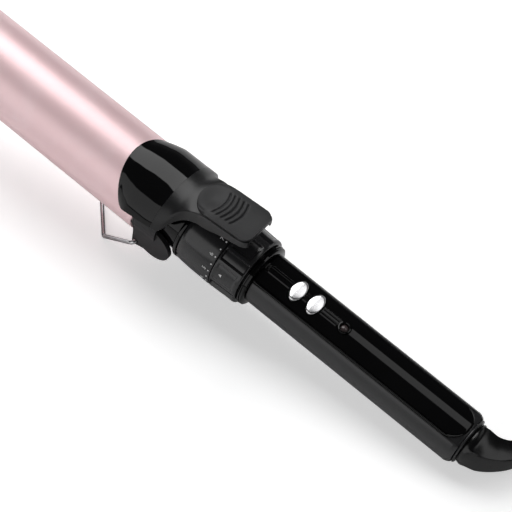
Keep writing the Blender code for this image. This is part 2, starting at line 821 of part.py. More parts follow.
def cover_row(station, share, offset):
    """One cross-section of the cover, moved inwards by offset: a half ring that turns into the lever."""
    half = math.radians(interpolate(COVER_SPAN, station))
    front_swell = interpolate([(0.1740, 0.0), (0.1820, -0.0010), (COVER_FRONT, -0.0021)], station)
    radius = COVER_R + front_swell - offset
    row = []
    for u in spread(-1.0, 1.0, 25):
        y, z = clock(radius, half * u)
        top = interpolate(LEVER_TOP, station) - offset
        edge = interpolate(LEVER_EDGE, station)
        lever_half = LEVER_HALF_WIDTH - offset
        lever_y = -lever_half * max(-1.0, min(1.0, 1.35 * u))
        lever_z = top - (top - edge) * max(0.0, (abs(u) - 0.74) / 0.26)
        y = y + (lever_y - y) * share
        z = z + (lever_z - z) * share + (1 - share) * (top - radius if station < 0.1620 else 0.0)
        row.append((y, z))
    return row


def make_cover():
    """The glossy cover: a flared half collar over the blade's root that rises into the thumb lever."""
    stations = [COVER_FRONT, 0.1862, 0.1820, 0.1740, 0.1620, 0.1562, 0.1530, 0.1505, 0.1481]
    stations += [0.1434, 0.1380, 0.1336, 0.1290, 0.1244, 0.1205, 0.1178]
    outer, inner = [], []
    for station in stations:
        share = interpolate([(0.1434, 1.0), (0.1562, 0.0)], station)
        share = share * share * (3 - 2 * share)
        narrowing = interpolate([(0.1178, 0.80), (0.1205, 0.95), (0.1244, 1.0)], station)
        slant = COVER_SLANT * interpolate([(0.1740, 0.0), (COVER_FRONT, 1.0)], station)
        wall = interpolate(COVER_WALL, station)
        for rows, offset in ((outer, 0.0), (inner, wall)):
            section = cover_row(station, share, offset)
            rows.append([at(station - slant * (COVER_R - z), y * narrowing, z) for y, z in section])
    shell_loft("clip_cover", outer, inner, GLOSS)


def make_thumb_pad():
    """The matte grip that lies on the lever, with a rounded rear end."""
    spans = [
        (0.1188, 0.0062),
        (0.1206, 0.0084),
        (0.1240, 0.0093),
        (0.1400, 0.0093),
        (0.1460, 0.0078),
        (0.1490, 0.0050),
    ]
    outer, inner = [], []
    for station, half in spans:
        top = interpolate(LEVER_TOP, station)
        across = spread(-half, half, 9)
        outer.append([at(station, y, top + 0.0020 - 8.0 * y * y) for y in across])
        inner.append([at(station, y, top + 0.0004) for y in across])
    shell_loft("thumb_pad", outer, inner, MATTE)


def make_hinge():
    """Two stub pins through the neck's sides into the ears, each with a small torsion spring."""
    length = 0.0075
    for side, sign in (("near", -1), ("far", 1)):
        pin = add_part("hinge_pin_" + side, cylinder_mesh("hinge_pin_" + side, PIN_R, length, 16), STEEL)
        middle = 0.0167 - length / 2
        pin.matrix_local = Matrix.Translation(at(HINGE_STATION, sign * middle, HINGE_Z)) @ UPRIGHT
        points = []
        for i in range(29):
            turn = 2 * math.pi * i / 14
            y = sign * (0.01345 + 0.0008 * i / 14)
            points.append(
                at(HINGE_STATION - 0.0027 * math.cos(turn), y, HINGE_Z + 0.0027 * math.sin(turn))
            )
        wire("torsion_spring_" + side, points, 0.00033, STEEL, resolution=1)


# ---------------------------------------------------------------- stand


def make_bracket():
    """The block under the neck that holds the wire stand; it hugs the neck and the barrel."""
    outline = [
        (0.1720, -0.0060),
        (0.1722, -0.0225),
        (0.1705, -0.0235),
        (0.1675, -0.0222),
        (0.1620, -0.0202),
        (0.1565, -0.0182),
        (0.1565, -0.0100),
    ]
    bracket = add_part("stand_bracket", plate_mesh("stand_bracket", outline, BRACKET_HALF_WIDTH), MATTE)
    bracket.matrix_local = UPRIGHT
    boolean(bracket, long_cutter("neck_room", 0.1500, BARREL_START, NECK_R + GAP))
    boolean(bracket, long_cutter("barrel_room", BARREL_START - 0.0007, 0.1800, BARREL_R + GAP))
    middle = (EAR_INNER_Y + EAR_OUTER_Y) / 2
    for side, sign in (("near", -1), ("far", 1)):
        room = cross_cutter(
            "ear_room_" + side, HINGE_STATION, HINGE_Z, EAR_R + 0.0005, 0.0060, sign * (middle + 0.0014), 40
        )
        boolean(bracket, room)
        boolean(bracket, spring_pocket("bracket_pocket_" + side, sign))
        hole = cross_cutter(
            "stand_hole_" + side, STAND_STATION, STAND_Z, STAND_WIRE_R + 0.0003, 0.0060, sign * 0.0140, 16
        )
        boolean(bracket, hole)
    boolean(bracket, up_cutter("bracket_screw_hole", 0.1620, -0.0260, -0.0120, 0.0012, segments=12))
    boolean(bracket, up_cutter("bracket_screw_seat", 0.1620, -0.0260, -0.0190, 0.0027, segments=16))
    screw = [
        (-0.0125, 0.0),
        (-0.0125, 0.0009),
        (-0.0193, 0.0009),
        (-0.0193, 0.0024),
        (-0.0205, 0.0024),
        (-0.0205, 0.0),
    ]
    up_turned("bracket_screw", 0.1620, screw, STEEL, 12, closed=False)


def make_stand():
    """One bent wire: both ends turn in the bracket, and the foot lies flat on the floor."""
    pivot = world(STAND_STATION, 0.0, STAND_Z)
    corner_x, corner_y = FOOT_CORNER[0] + REAR_X, FOOT_CORNER[1]
    front_x, front_y = FOOT_FRONT[0] + REAR_X, FOOT_FRONT[1]
    floor = STAND_WIRE_R
    near = [
        (pivot.x, -0.0122, pivot.z),
        (pivot.x, -0.0174, pivot.z),
        (corner_x, -corner_y, floor),
        (front_x, -front_y, floor),
    ]
    far = [(x, -y, z) for x, y, z in reversed(near)]
    points = rounded_path(near + far, 0.0024)
    made = wire("stand_wire", [p - pivot for p in points], STAND_WIRE_R, STEEL, parent=None)
    made.location = pivot


# ---------------------------------------------------------------- cord, hank and plug


def hank_outline(radius):
    """A stadium of (x, y) points: the near end from -Y to +Y, then the far end back again."""
    outline = []
    for middle, start in ((HANK_NEAR_X, 270.0), (HANK_FAR_X, 90.0)):
        for i in range(13):
            turn = math.radians(start - 15.0 * i)
            outline.append((middle + radius * math.cos(turn), HANK_Y + radius * math.sin(turn)))
    return outline


def make_hank():
    """The turns of the folded lead as one solid, with a corner where the lead runs in beside them."""
    outer = hank_outline(HANK_OUTER_R)
    outer[10] = (HANK_LEAD_X, HANK_Y + HANK_LEAD_LOW)
    outer[11] = (HANK_LEAD_X, HANK_Y + HANK_OUTER_R)
    inner = hank_outline(HANK_INNER_R)

    def build(bm):
        loops = [(outer, HANK_BOTTOM), (outer, HANK_TOP), (inner, HANK_TOP), (inner, HANK_BOTTOM)]
        made = [[bm.verts.new((x, y, z)) for x, y in loop] for loop, z in loops]
        count = len(outer)
        for low, high in zip(made, made[1:] + made[:1]):
            for i in range(count):
                j = (i + 1) % count
                bm.faces.new((low[i], low[j], high[j], high[i]))

    add_part("cord_hank", mesh_of("cord_hank", build), RUBBER, None)


def make_cord():
    wire("cord", smooth_route(CORD_ROUTE, 0.0090), CORD_R, RUBBER, parent=None)
    wire("cord_tail", smooth_route(TAIL_ROUTE, 0.0120), CORD_R, RUBBER, parent=None)


def rounded_section(half_width, half_height, x, corner, steps=3):
    """A rounded rectangle across the plug at one place along it."""
    ring = []
    for start, sy, sz in ((0, 1, 1), (90, -1, 1), (180, -1, -1), (270, 1, -1)):
        for i in range(steps + 1):
            turn = math.radians(start + 90 * i / steps)
            y = PLUG_Y + sy * (half_width - corner) + corner * math.cos(turn)
            z = PLUG_Z + sz * (half_height - corner) + corner * math.sin(turn)
            ring.append((x, y, z))
    return ring


def make_plug():
    """A flat two-pin plug lying on the hank, its pins towards -X."""
    half = PLUG_THICKNESS / 2
    sections = [
        (0.0042, 0.0042, PLUG_RELIEF),
        (0.0048, 0.0048, 0.0060),
        (0.0056, 0.0056, 0.0),
        (0.0120, half - 0.0004, -0.0080),
        (PLUG_HALF_WIDTH - 0.0010, half, -0.0180),
        (PLUG_HALF_WIDTH, half, -0.0330),
        (PLUG_HALF_WIDTH - 0.0006, half - 0.0006, -PLUG_LENGTH),
    ]
    rings = [rounded_section(w, h, PLUG_BACK_X + x, min(w, h) * 0.92) for w, h, x in sections]
    ring_loft("plug_body", rings, RUBBER, parent=None)
    for side, sign in (("live", -1), ("neutral", 1)):
        mesh = cylinder_mesh("plug_pin_" + side, PLUG_PIN_R, PLUG_PIN_LENGTH, 12)
        pin = add_part("plug_pin_" + side, mesh, CHROME, parent=None)
        middle = PLUG_BACK_X - PLUG_LENGTH - GAP - PLUG_PIN_LENGTH / 2
        y = PLUG_Y + sign * PLUG_PIN_SPACING / 2
        pin.matrix_local = Matrix.Translation((middle, y, PLUG_Z)) @ ALONG_WAND


make_barrel()
make_heater()
make_leads()
make_neck()
make_rings()
make_potentiometer()
make_lower_shell()
make_top_panel()
make_track()
make_buttons()
make_controls()
make_screws()
make_swivel()
make_boot()
make_blade()
make_frame()
make_cover()
make_thumb_pad()
make_hinge()
make_bracket()
make_stand()
make_cord()
make_hank()
make_plug()
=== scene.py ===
"""The looks of a curling wand with a spring clip, a temperature dial, a folding stand and a swivel cord.

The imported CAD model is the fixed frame. Each section below makes one piece or group of like pieces at
its final place, with its material, and says which CAD body it moves with. All lengths are in metres.
"""

import json
import math

import bmesh
import bpy
from mathutils import Matrix, Vector


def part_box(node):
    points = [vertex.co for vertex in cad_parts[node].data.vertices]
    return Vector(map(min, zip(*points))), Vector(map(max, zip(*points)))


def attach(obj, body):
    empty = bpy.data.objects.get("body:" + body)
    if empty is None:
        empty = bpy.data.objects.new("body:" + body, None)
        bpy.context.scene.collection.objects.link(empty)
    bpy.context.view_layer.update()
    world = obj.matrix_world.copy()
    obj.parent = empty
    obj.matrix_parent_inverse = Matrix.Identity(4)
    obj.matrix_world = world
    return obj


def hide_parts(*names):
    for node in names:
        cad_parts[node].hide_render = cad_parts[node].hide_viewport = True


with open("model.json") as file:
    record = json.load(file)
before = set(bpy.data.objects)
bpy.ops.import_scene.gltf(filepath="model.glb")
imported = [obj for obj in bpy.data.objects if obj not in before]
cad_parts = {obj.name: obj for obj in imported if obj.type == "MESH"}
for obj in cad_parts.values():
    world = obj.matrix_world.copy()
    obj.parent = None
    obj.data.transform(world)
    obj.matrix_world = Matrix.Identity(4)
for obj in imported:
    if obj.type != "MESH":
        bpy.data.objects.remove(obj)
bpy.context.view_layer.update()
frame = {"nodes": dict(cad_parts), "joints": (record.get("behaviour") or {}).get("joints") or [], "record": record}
record = frame["record"]

# ---------------------------------------------------------------- camera
# A long lens looks down on the handle from the near right. It shows the handle whole, and leaves out
# the barrel's far end and all of the lead past its strain relief.

CAMERA_AIM = Vector((0.031185, 0.020875, -0.00084))
CAMERA_AZIMUTH = math.radians(40.0)
CAMERA_ELEVATION = math.radians(56.18)
CAMERA_DISTANCE = 0.850
CAMERA_LENS_MM = 132.3


def towards(azimuth, elevation):
    """The direction from the object to a place at this azimuth, from -Y towards +X, and elevation."""
    flat = math.cos(elevation)
    return Vector((math.sin(azimuth) * flat, -math.cos(azimuth) * flat, math.sin(elevation)))


camera_data = bpy.data.cameras.new("camera")
camera_data.lens = CAMERA_LENS_MM
camera_data.sensor_width = 36.0
camera_data.clip_start = 0.05
camera = bpy.data.objects.new("camera", camera_data)
bpy.context.scene.collection.objects.link(camera)
camera_back = towards(CAMERA_AZIMUTH, CAMERA_ELEVATION)
camera.location = CAMERA_AIM + camera_back * CAMERA_DISTANCE
camera.rotation_euler = camera_back.to_track_quat("Z", "Y").to_euler()
bpy.context.scene.camera = camera
bpy.context.scene.view_settings.view_transform = "Standard"

# ---------------------------------------------------------------- cord, its tie and the rubber they share
# A 6 mm two-core mains lead in a soft black sheath, 1.95 m long. It leaves the swivel's strain relief,
# bends down to the table and is folded into a flat hank of two layers, in line with the wand. A strap
# holds the hank, and the plug lies on it.

CORD_RADIUS = 0.0030
CORD_ROUTE = [
    (0.19340, 0.02840, 0.00769),
    (0.19760, 0.03518, 0.00700),
    (0.20169, 0.04033, 0.00600),
    (0.20701, 0.04425, 0.00480),
    (0.21310, 0.04669, 0.00370),
    (0.21965, 0.04753, 0.00320),
]
HANK_Y = 0.01723
HANK_ENDS = (0.2400, 0.3350)
HANK_LANES = (0.0303, 0.0242, 0.0181)
HANK_LOW = 0.0031
HANK_STEP = 0.0061
FAR_LANES = (0, 1, 2, 1, 0)
NEAR_LANES = (1, 2, 2, 1, 0)
RISE_TURN = 2
TURN_BACK_RADIUS = 0.0240
PLUG_HEIGHT = 0.01955
PLUG_ENTRY = 0.3200
POINT_GAP = 0.003
LEAD_IN = (0.2235, 0.2275, 0.2315, 0.2355)
FIRST_RISE_LEAD = 11
FIRST_RISE_POINTS = 25
SECOND_RISE_POINTS = 15
LAST_RISE_POINTS = 11


def ease(x):
    """A smooth step from 0 to 1."""
    x = min(1.0, max(0.0, x))
    return x * x * (3 - 2 * x)


def smooth_route(points, spacing):
    """Points about this far apart on a smooth curve through a route's own points."""
    points = [Vector(p) for p in points]
    ends = [2 * points[0] - points[1]] + points + [2 * points[-1] - points[-2]]
    made = []
    for a, b, c, d in zip(ends, ends[1:], ends[2:], ends[3:]):
        count = max(1, round((c - b).length / spacing))
        for i in range(count):
            t = i / count
            made.append(
                0.5 * (2 * b + (c - a) * t + (2 * a - 5 * b + 4 * c - d) * t**2)
                + 0.5 * (3 * b - a - 3 * c + d) * t**3
            )
    made.append(points[-1])
    return made


def hank_run(side, start, end):
    """(x, y) points along one straight run, which shifts from one lane's radius to another's."""
    count = round((HANK_ENDS[1] - HANK_ENDS[0]) / POINT_GAP)
    run = []
    for i in range(count):
        share = i / count
        x0, x1 = HANK_ENDS if side > 0 else HANK_ENDS[::-1]
        run.append((x0 + (x1 - x0) * share, HANK_Y + side * (start + (end - start) * ease(share))))
    return run


def hank_fold(x, y, radius, start):
    """(x, y) points round one end, clockwise from straight up or straight down, as side 1 or -1."""
    count = round(math.pi * radius / POINT_GAP)
    turns = [math.pi / 2 * start - math.pi * i / count for i in range(count)]
    return [(x + radius * math.cos(t), y + radius * math.sin(t)) for t in turns]


def hank_line():
    """The folded lead's centre line: lane by lane inwards, up a layer, outwards and over the top."""
    flat = []
    lane = HANK_LANES[0]
    for turn, (far, near) in enumerate(zip(FAR_LANES, NEAR_LANES)):
        flat += hank_run(1, lane, HANK_LANES[far])
        flat += hank_fold(HANK_ENDS[1], HANK_Y, HANK_LANES[far], 1)
        lane = HANK_LANES[near]
        if turn == RISE_TURN:
            first_rise = len(flat)
        flat += hank_run(-1, HANK_LANES[far], lane)
        flat += hank_fold(HANK_ENDS[0], HANK_Y, lane, -1)
    second_rise = len(flat)
    flat += hank_run(1, lane, lane)
    flat += hank_fold(HANK_ENDS[1], HANK_Y + lane - TURN_BACK_RADIUS, TURN_BACK_RADIUS, 1)
    last_y = HANK_Y + lane - 2 * TURN_BACK_RADIUS
    last = HANK_ENDS[1]
    while last > PLUG_ENTRY:
        flat.append((last, last_y))
        last -= POINT_GAP
    last_rise = len(flat) - LAST_RISE_POINTS - 1
    top = HANK_LOW + 2 * HANK_STEP
    line = []
    for i, (x, y) in enumerate(flat):
        layers = ease((i - first_rise + FIRST_RISE_LEAD) / FIRST_RISE_POINTS)
        layers += ease((i - second_rise) / SECOND_RISE_POINTS)
        to_plug = (PLUG_HEIGHT - top) * ease((i - last_rise) / LAST_RISE_POINTS)
        line.append(Vector((x, y, HANK_LOW + HANK_STEP * layers + to_plug)))
    return line


cord_line = smooth_route(CORD_ROUTE, POINT_GAP)
cord_line += [Vector((x, CORD_ROUTE[-1][1], HANK_LOW)) for x in LEAD_IN]
cord_line += hank_line()


def wire_piece(name, points, radius, sides=4):
    """A round wire or lead along world points."""
    curve = bpy.data.curves.new(name, "CURVE")
    curve.dimensions = "3D"
    curve.bevel_depth = radius
    curve.bevel_resolution = sides
    curve.use_fill_caps = True
    spline = curve.splines.new("POLY")
    spline.points.add(len(points) - 1)
    for spot, point in zip(spline.points, points):
        spot.co = (*point, 1.0)
    piece = bpy.data.objects.new(name, curve)
    bpy.context.scene.collection.objects.link(piece)
    return piece


def node(tree, kind, **values):
    """A shader node with its plain input values set by socket name."""
    made = tree.nodes.new(kind)
    for socket, value in values.items():
        made.inputs[socket.replace("_", " ")].default_value = value
    return made


def group_sockets(tree, inputs, outputs):
    for name, value in inputs.items():
        socket = tree.interface.new_socket(name, in_out="INPUT", socket_type="NodeSocketFloat")
        socket.default_value = value
    for name in outputs:
        tree.interface.new_socket(name, in_out="OUTPUT", socket_type="NodeSocketFloat")


# Moulded surfaces share a fine grain with a few slow swells, from Object coordinates.
grain_group = bpy.data.node_groups.new("moulded_grain", "ShaderNodeTree")
group_sockets(grain_group, {"Scale": 2500.0, "Swell": 0.3}, ["Height"])
grain_in = grain_group.nodes.new("NodeGroupInput")
grain_out = grain_group.nodes.new("NodeGroupOutput")
grain_place = grain_group.nodes.new("ShaderNodeTexCoord")
grain_fine = node(grain_group, "ShaderNodeTexNoise", Detail=3.0, Roughness=0.6)
grain_slow = node(grain_group, "ShaderNodeTexNoise", Scale=45.0, Detail=2.0)
grain_mix = grain_group.nodes.new("ShaderNodeMix")
grain_group.links.new(grain_place.outputs["Object"], grain_fine.inputs["Vector"])
grain_group.links.new(grain_place.outputs["Object"], grain_slow.inputs["Vector"])
grain_group.links.new(grain_in.outputs["Scale"], grain_fine.inputs["Scale"])
grain_group.links.new(grain_in.outputs["Swell"], grain_mix.inputs["Factor"])
grain_group.links.new(grain_fine.outputs["Fac"], grain_mix.inputs[2])
grain_group.links.new(grain_slow.outputs["Fac"], grain_mix.inputs[3])
grain_group.links.new(grain_mix.outputs[0], grain_out.inputs["Height"])

# Handled surfaces share soft smudges: a mask from 0, clean, to 1, touched.
touch_group = bpy.data.node_groups.new("handling_marks", "ShaderNodeTree")
group_sockets(touch_group, {"Scale": 60.0, "Clean": 0.45}, ["Mask"])
touch_in = touch_group.nodes.new("NodeGroupInput")
touch_out = touch_group.nodes.new("NodeGroupOutput")
touch_place = touch_group.nodes.new("ShaderNodeTexCoord")
touch_noise = node(touch_group, "ShaderNodeTexNoise", Detail=5.0, Roughness=0.62, Distortion=0.4)
touch_range = node(touch_group, "ShaderNodeMapRange")
touch_group.links.new(touch_place.outputs["Object"], touch_noise.inputs["Vector"])
touch_group.links.new(touch_in.outputs["Scale"], touch_noise.inputs["Scale"])
touch_group.links.new(touch_in.outputs["Clean"], touch_range.inputs["From Min"])
touch_group.links.new(touch_noise.outputs["Fac"], touch_range.inputs["Value"])
touch_group.links.new(touch_range.outputs["Result"], touch_out.inputs["Mask"])


MARK_SHADE = 1.12
MARK_LIFT = 0.001


def finish_material(
    name, colour, roughness, touched, metallic=0.0, grain=2500.0, depth=0.00001, swell=0.3, shine=0.5
):
    """A moulded, painted or plated finish: grain in its normal, handling marks in its roughness."""
    made = bpy.data.materials.new(name)
    made.use_nodes = True
    tree = made.node_tree
    shader = tree.nodes["Principled BSDF"]
    shader.inputs["Metallic"].default_value = metallic
    shader.inputs["Specular IOR Level"].default_value = shine
    marks = tree.nodes.new("ShaderNodeGroup")
    marks.node_tree = touch_group
    spread = node(tree, "ShaderNodeMapRange", To_Min=roughness, To_Max=touched)
    shade = tree.nodes.new("ShaderNodeMix")
    shade.data_type = "RGBA"
    shade.inputs[6].default_value = (*colour, 1.0)
    shade.inputs[7].default_value = (*(min(1.0, c * MARK_SHADE + MARK_LIFT) for c in colour), 1.0)
    surface = tree.nodes.new("ShaderNodeGroup")
    surface.node_tree = grain_group
    surface.inputs["Scale"].default_value = grain
    surface.inputs["Swell"].default_value = swell
    bump = node(tree, "ShaderNodeBump", Distance=depth, Strength=1.0)
    tree.links.new(marks.outputs["Mask"], spread.inputs["Value"])
    tree.links.new(marks.outputs["Mask"], shade.inputs[0])
    tree.links.new(shade.outputs[2], shader.inputs["Base Color"])
    tree.links.new(spread.outputs["Result"], shader.inputs["Roughness"])
    tree.links.new(surface.outputs["Height"], bump.inputs["Height"])
    tree.links.new(bump.outputs["Normal"], shader.inputs["Normal"])
    return made


def dress(piece, material, body, slot, *nodes):
    """Gives a finished piece its material, its body and the CAD nodes it stands for. Its record slot is not used.
    """
    if material is not None:
        piece.data.materials.clear()
        piece.data.materials.append(material)
    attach(piece, body)
    if nodes:
        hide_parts(*nodes)
    return piece


rubber = finish_material("cord_rubber", (0.012, 0.012, 0.013), 0.42, 0.55, grain=1800.0, depth=0.00002)
lead = wire_piece("lead", cord_line, CORD_RADIUS)
dress(lead, rubber, "handle", "cord_rubber", "cord", "cord_tail", "cord_hank")

TIE_X = 0.3120
TIE_HALF_WIDTH = 0.0050
TIE_THICK = 0.0008
TIE_ACROSS = (HANK_Y + 0.0148, HANK_Y + 0.0336)
TIE_UPRIGHT = (0.0010, 0.0186)
TIE_POWERS = (0.3, 0.45)
TIE_POINTS = 48
WELD = 1e-7


def mesh_piece(name, verts, faces, sharp_degrees=40.0):
    """A closed mesh piece with its faces pointing out, smooth except at its edges."""
    mesh = bpy.data.meshes.new(name)
    bm = bmesh.new()
    made = [bm.verts.new(v) for v in verts]
    for face in faces:
        bm.faces.new([made[i] for i in face])
    bmesh.ops.remove_doubles(bm, verts=bm.verts, dist=WELD)
    bmesh.ops.dissolve_degenerate(bm, edges=bm.edges, dist=WELD / 10)
    bmesh.ops.recalc_face_normals(bm, faces=bm.faces)
    bm.to_mesh(mesh)
    bm.free()
    mesh.shade_smooth()
    mesh.set_sharp_from_angle(angle=math.radians(sharp_degrees))
    piece = bpy.data.objects.new(name, mesh)
    bpy.context.scene.collection.objects.link(piece)
    return piece


def loft(name, rings, closed_ends=True, looped=False, sharp_degrees=40.0):
    """A solid through closed rings of equal point counts; looped joins the last ring to the first."""
    count = len(rings[0])
    verts = [p for ring in rings for p in ring]
    faces = []
    last = len(rings) if looped else len(rings) - 1
    for r in range(last):
        low, high = r * count, (r + 1) % len(rings) * count
        for i in range(count):
            j = (i + 1) % count
            faces.append((low + i, low + j, high + j, high + i))
    if closed_ends and not looped:
        faces.append(tuple(range(count)))
        faces.append(tuple(range((len(rings) - 1) * count, len(rings) * count)))
    return mesh_piece(name, verts, faces, sharp_degrees)


def soften(piece, width, segments=3, degrees=35.0):
    """Rounded edges."""
    edge = piece.modifiers.new("rounded_edges", "BEVEL")
    edge.width = width
    edge.segments = segments
    edge.limit_method = "ANGLE"
    edge.angle_limit = math.radians(degrees)
    edge.harden_normals = False
    return piece


def tie_ring(along, grow):
    """A rounded rectangle round the six strands on the hank's far side and the one above them."""
    half_y = (TIE_ACROSS[1] - TIE_ACROSS[0]) / 2 + grow
    half_z = (TIE_UPRIGHT[1] - TIE_UPRIGHT[0]) / 2 + grow
    ring = []
    for i in range(TIE_POINTS):
        turn = 2 * math.pi * i / TIE_POINTS
        c, s = math.cos(turn), math.sin(turn)
        y = sum(TIE_ACROSS) / 2 + half_y * math.copysign(abs(c) ** TIE_POWERS[0], c)
        z = sum(TIE_UPRIGHT) / 2 + half_z * math.copysign(abs(s) ** TIE_POWERS[1], s)
        ring.append((TIE_X + along, y, z))
    return ring


tie_rings = [
    tie_ring(-TIE_HALF_WIDTH, 0.0),
    tie_ring(-TIE_HALF_WIDTH, TIE_THICK),
    tie_ring(TIE_HALF_WIDTH, TIE_THICK),
    tie_ring(TIE_HALF_WIDTH, 0.0),
]
tie = loft("cord_tie", tie_rings, looped=True)
tie_cloth = finish_material("tie_fabric", (0.02, 0.02, 0.021), 0.75, 0.9, grain=900.0, depth=0.00015)
dress(tie, tie_cloth, "handle", "cord_rubber")

# ---------------------------------------------------------------- plug
# A flat two-pin plug, moulded onto the lead in the same rubber, with finger grooves and a ribbed neck.
# Its two turned pins are nickel-plated brass and are held in the moulding.

PLUG_LOW, PLUG_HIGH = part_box("plug_body")
PLUG_MIDDLE = (PLUG_LOW + PLUG_HIGH) / 2
PLUG_HALF = (PLUG_HIGH.y - PLUG_LOW.y) / 2
PLUG_HALF_THICK = 0.0067
PLUG_NECK = 0.0042
PLUG_LONG = PLUG_HIGH.x - PLUG_LOW.x


PLUG_NECK_START = 0.38
PLUG_NECK_REACH = 0.27
PLUG_FACE = 0.05
PLUG_FACE_DRAW = (0.10, 0.12)
PLUG_GRIP = (0.12, 0.40)
PLUG_GRIP_DEPTH = 0.0006
PLUG_GRIP_TURNS = 130.0
PLUG_SQUARENESS = 0.42
PLUG_SIDES = 40
PLUG_SECTIONS = 90
PLUG_RIBS = 7
PLUG_RIB_FIRST = 0.74
PLUG_RIB_DEPTH = 0.0007
PLUG_RIB_FLOOR = 0.68
PLUG_RIB_FADE = 0.04
RIB_SIDES = 64


def new_tree(name, inputs):
    """An empty node tree with these named inputs, as (name, kind) pairs, and its input node."""
    tree = bpy.data.node_groups.new(name, "GeometryNodeTree")
    for label, kind in inputs:
        tree.interface.new_socket(label, in_out="INPUT", socket_type="NodeSocket" + kind)
    tree.interface.new_socket("Geometry", in_out="OUTPUT", socket_type="NodeSocketGeometry")
    return tree, tree.nodes.new("NodeGroupInput")


def number_node(tree, operation, *values):
    """A math node; a value is a number or another node's output."""
    made = tree.nodes.new("ShaderNodeMath")
    made.operation = operation
    for socket, value in zip(made.inputs, values):
        if isinstance(value, (int, float)):
            socket.default_value = value
        else:
            tree.links.new(value, socket)
    return made.outputs[0]


def end_tree(tree, given, shape):
    """Ends a tree: what is left as instances is made real, and all of it gets the given material."""
    real = tree.nodes.new("GeometryNodeRealizeInstances")
    painted = tree.nodes.new("GeometryNodeSetMaterial")
    tree.links.new(shape, real.inputs["Geometry"])
    tree.links.new(real.outputs[0], painted.inputs["Geometry"])
    tree.links.new(given.outputs["Material"], painted.inputs["Material"])
    tree.links.new(painted.outputs[0], tree.nodes.new("NodeGroupOutput").inputs["Geometry"])


def rib_tree():
    """Adds a row of round ribs to a mesh, each a little smaller than the last."""
    kinds = [("Geometry", "Geometry"), ("Count", "Int"), ("First", "Vector"), ("Step", "Vector")]
    kinds += [("Radius", "Float"), ("Width", "Float"), ("Taper", "Float"), ("Material", "Material")]
    tree, given = new_tree("ribs_in_a_row", kinds)
    row = tree.nodes.new("GeometryNodeMeshLine")
    row.mode = "OFFSET"
    rib = tree.nodes.new("GeometryNodeMeshCylinder")
    rib.inputs["Vertices"].default_value = RIB_SIDES
    aim = tree.nodes.new("FunctionNodeAlignRotationToVector")
    aim.axis = "Z"
    size = tree.nodes.new("ShaderNodeCombineXYZ")
    size.inputs["Z"].default_value = 1.0
    index = tree.nodes.new("GeometryNodeInputIndex")
    share = number_node(tree, "MULTIPLY", index.outputs[0], given.outputs["Taper"])
    share = number_node(tree, "SUBTRACT", 1.0, share)
    ribs = tree.nodes.new("GeometryNodeInstanceOnPoints")
    both = tree.nodes.new("GeometryNodeJoinGeometry")
    tree.links.new(given.outputs["Count"], row.inputs["Count"])
    tree.links.new(given.outputs["First"], row.inputs["Start Location"])
    tree.links.new(given.outputs["Step"], row.inputs["Offset"])
    tree.links.new(given.outputs["Radius"], rib.inputs["Radius"])
    tree.links.new(given.outputs["Width"], rib.inputs["Depth"])
    tree.links.new(given.outputs["Step"], aim.inputs["Vector"])
    tree.links.new(share, size.inputs["X"])
    tree.links.new(share, size.inputs["Y"])
    tree.links.new(row.outputs["Mesh"], ribs.inputs["Points"])
    tree.links.new(rib.outputs["Mesh"], ribs.inputs["Instance"])
    tree.links.new(aim.outputs["Rotation"], ribs.inputs["Rotation"])
    tree.links.new(size.outputs["Vector"], ribs.inputs["Scale"])
    tree.links.new(given.outputs["Geometry"], both.inputs["Geometry"])
    tree.links.new(ribs.outputs["Instances"], both.inputs["Geometry"])
    end_tree(tree, given, both.outputs["Geometry"])
    return tree


def grown(piece, tree, values, sharp_degrees=40.0):
    """Runs a tree on a piece, with its named inputs set first, and keeps the result as a plain mesh."""
    change = piece.modifiers.new("grown", "NODES")
    change.node_group = tree
    for socket in tree.interface.items_tree:
        if socket.in_out == "INPUT" and socket.name in values:
            change[socket.identifier] = values[socket.name]
    bpy.context.view_layer.update()
    graph = bpy.context.evaluated_depsgraph_get()
    mesh = bpy.data.meshes.new_from_object(piece.evaluated_get(graph))
    piece.modifiers.clear()
    piece.data = mesh
    mesh.shade_smooth()
    mesh.set_sharp_from_angle(angle=math.radians(sharp_degrees))
    return piece


def plug_ring(share):
    """One rounded cross-section, from the face with the pins at 0 to the neck's tip at 1."""
    neck = ease((share - PLUG_NECK_START) / PLUG_NECK_REACH)
    face = ease((PLUG_FACE - share) / PLUG_FACE)
    half_y = PLUG_HALF * (1 - neck) * (1 - PLUG_FACE_DRAW[0] * face) + PLUG_NECK * neck
    half_z = PLUG_HALF_THICK * (1 - neck) * (1 - PLUG_FACE_DRAW[1] * face) + PLUG_NECK * neck
    grip = PLUG_GRIP_DEPTH * max(0.0, math.sin(share * PLUG_GRIP_TURNS))
    grip *= PLUG_GRIP[0] < share < PLUG_GRIP[1]
    ribs = PLUG_RIB_DEPTH * ease((share - PLUG_RIB_FLOOR) / PLUG_RIB_FADE)
    power = PLUG_SQUARENESS + (1 - PLUG_SQUARENESS) * neck
    ring = []
    for i in range(PLUG_SIDES):
        turn = 2 * math.pi * i / PLUG_SIDES
        c, s = math.cos(turn), math.sin(turn)
        y = PLUG_MIDDLE.y + (half_y - ribs) * math.copysign(abs(c) ** power, c)
        z = PLUG_MIDDLE.z + (half_z - ribs - grip) * math.copysign(abs(s) ** power, s)
        ring.append((PLUG_LOW.x + share * PLUG_LONG, y, z))
    return ring


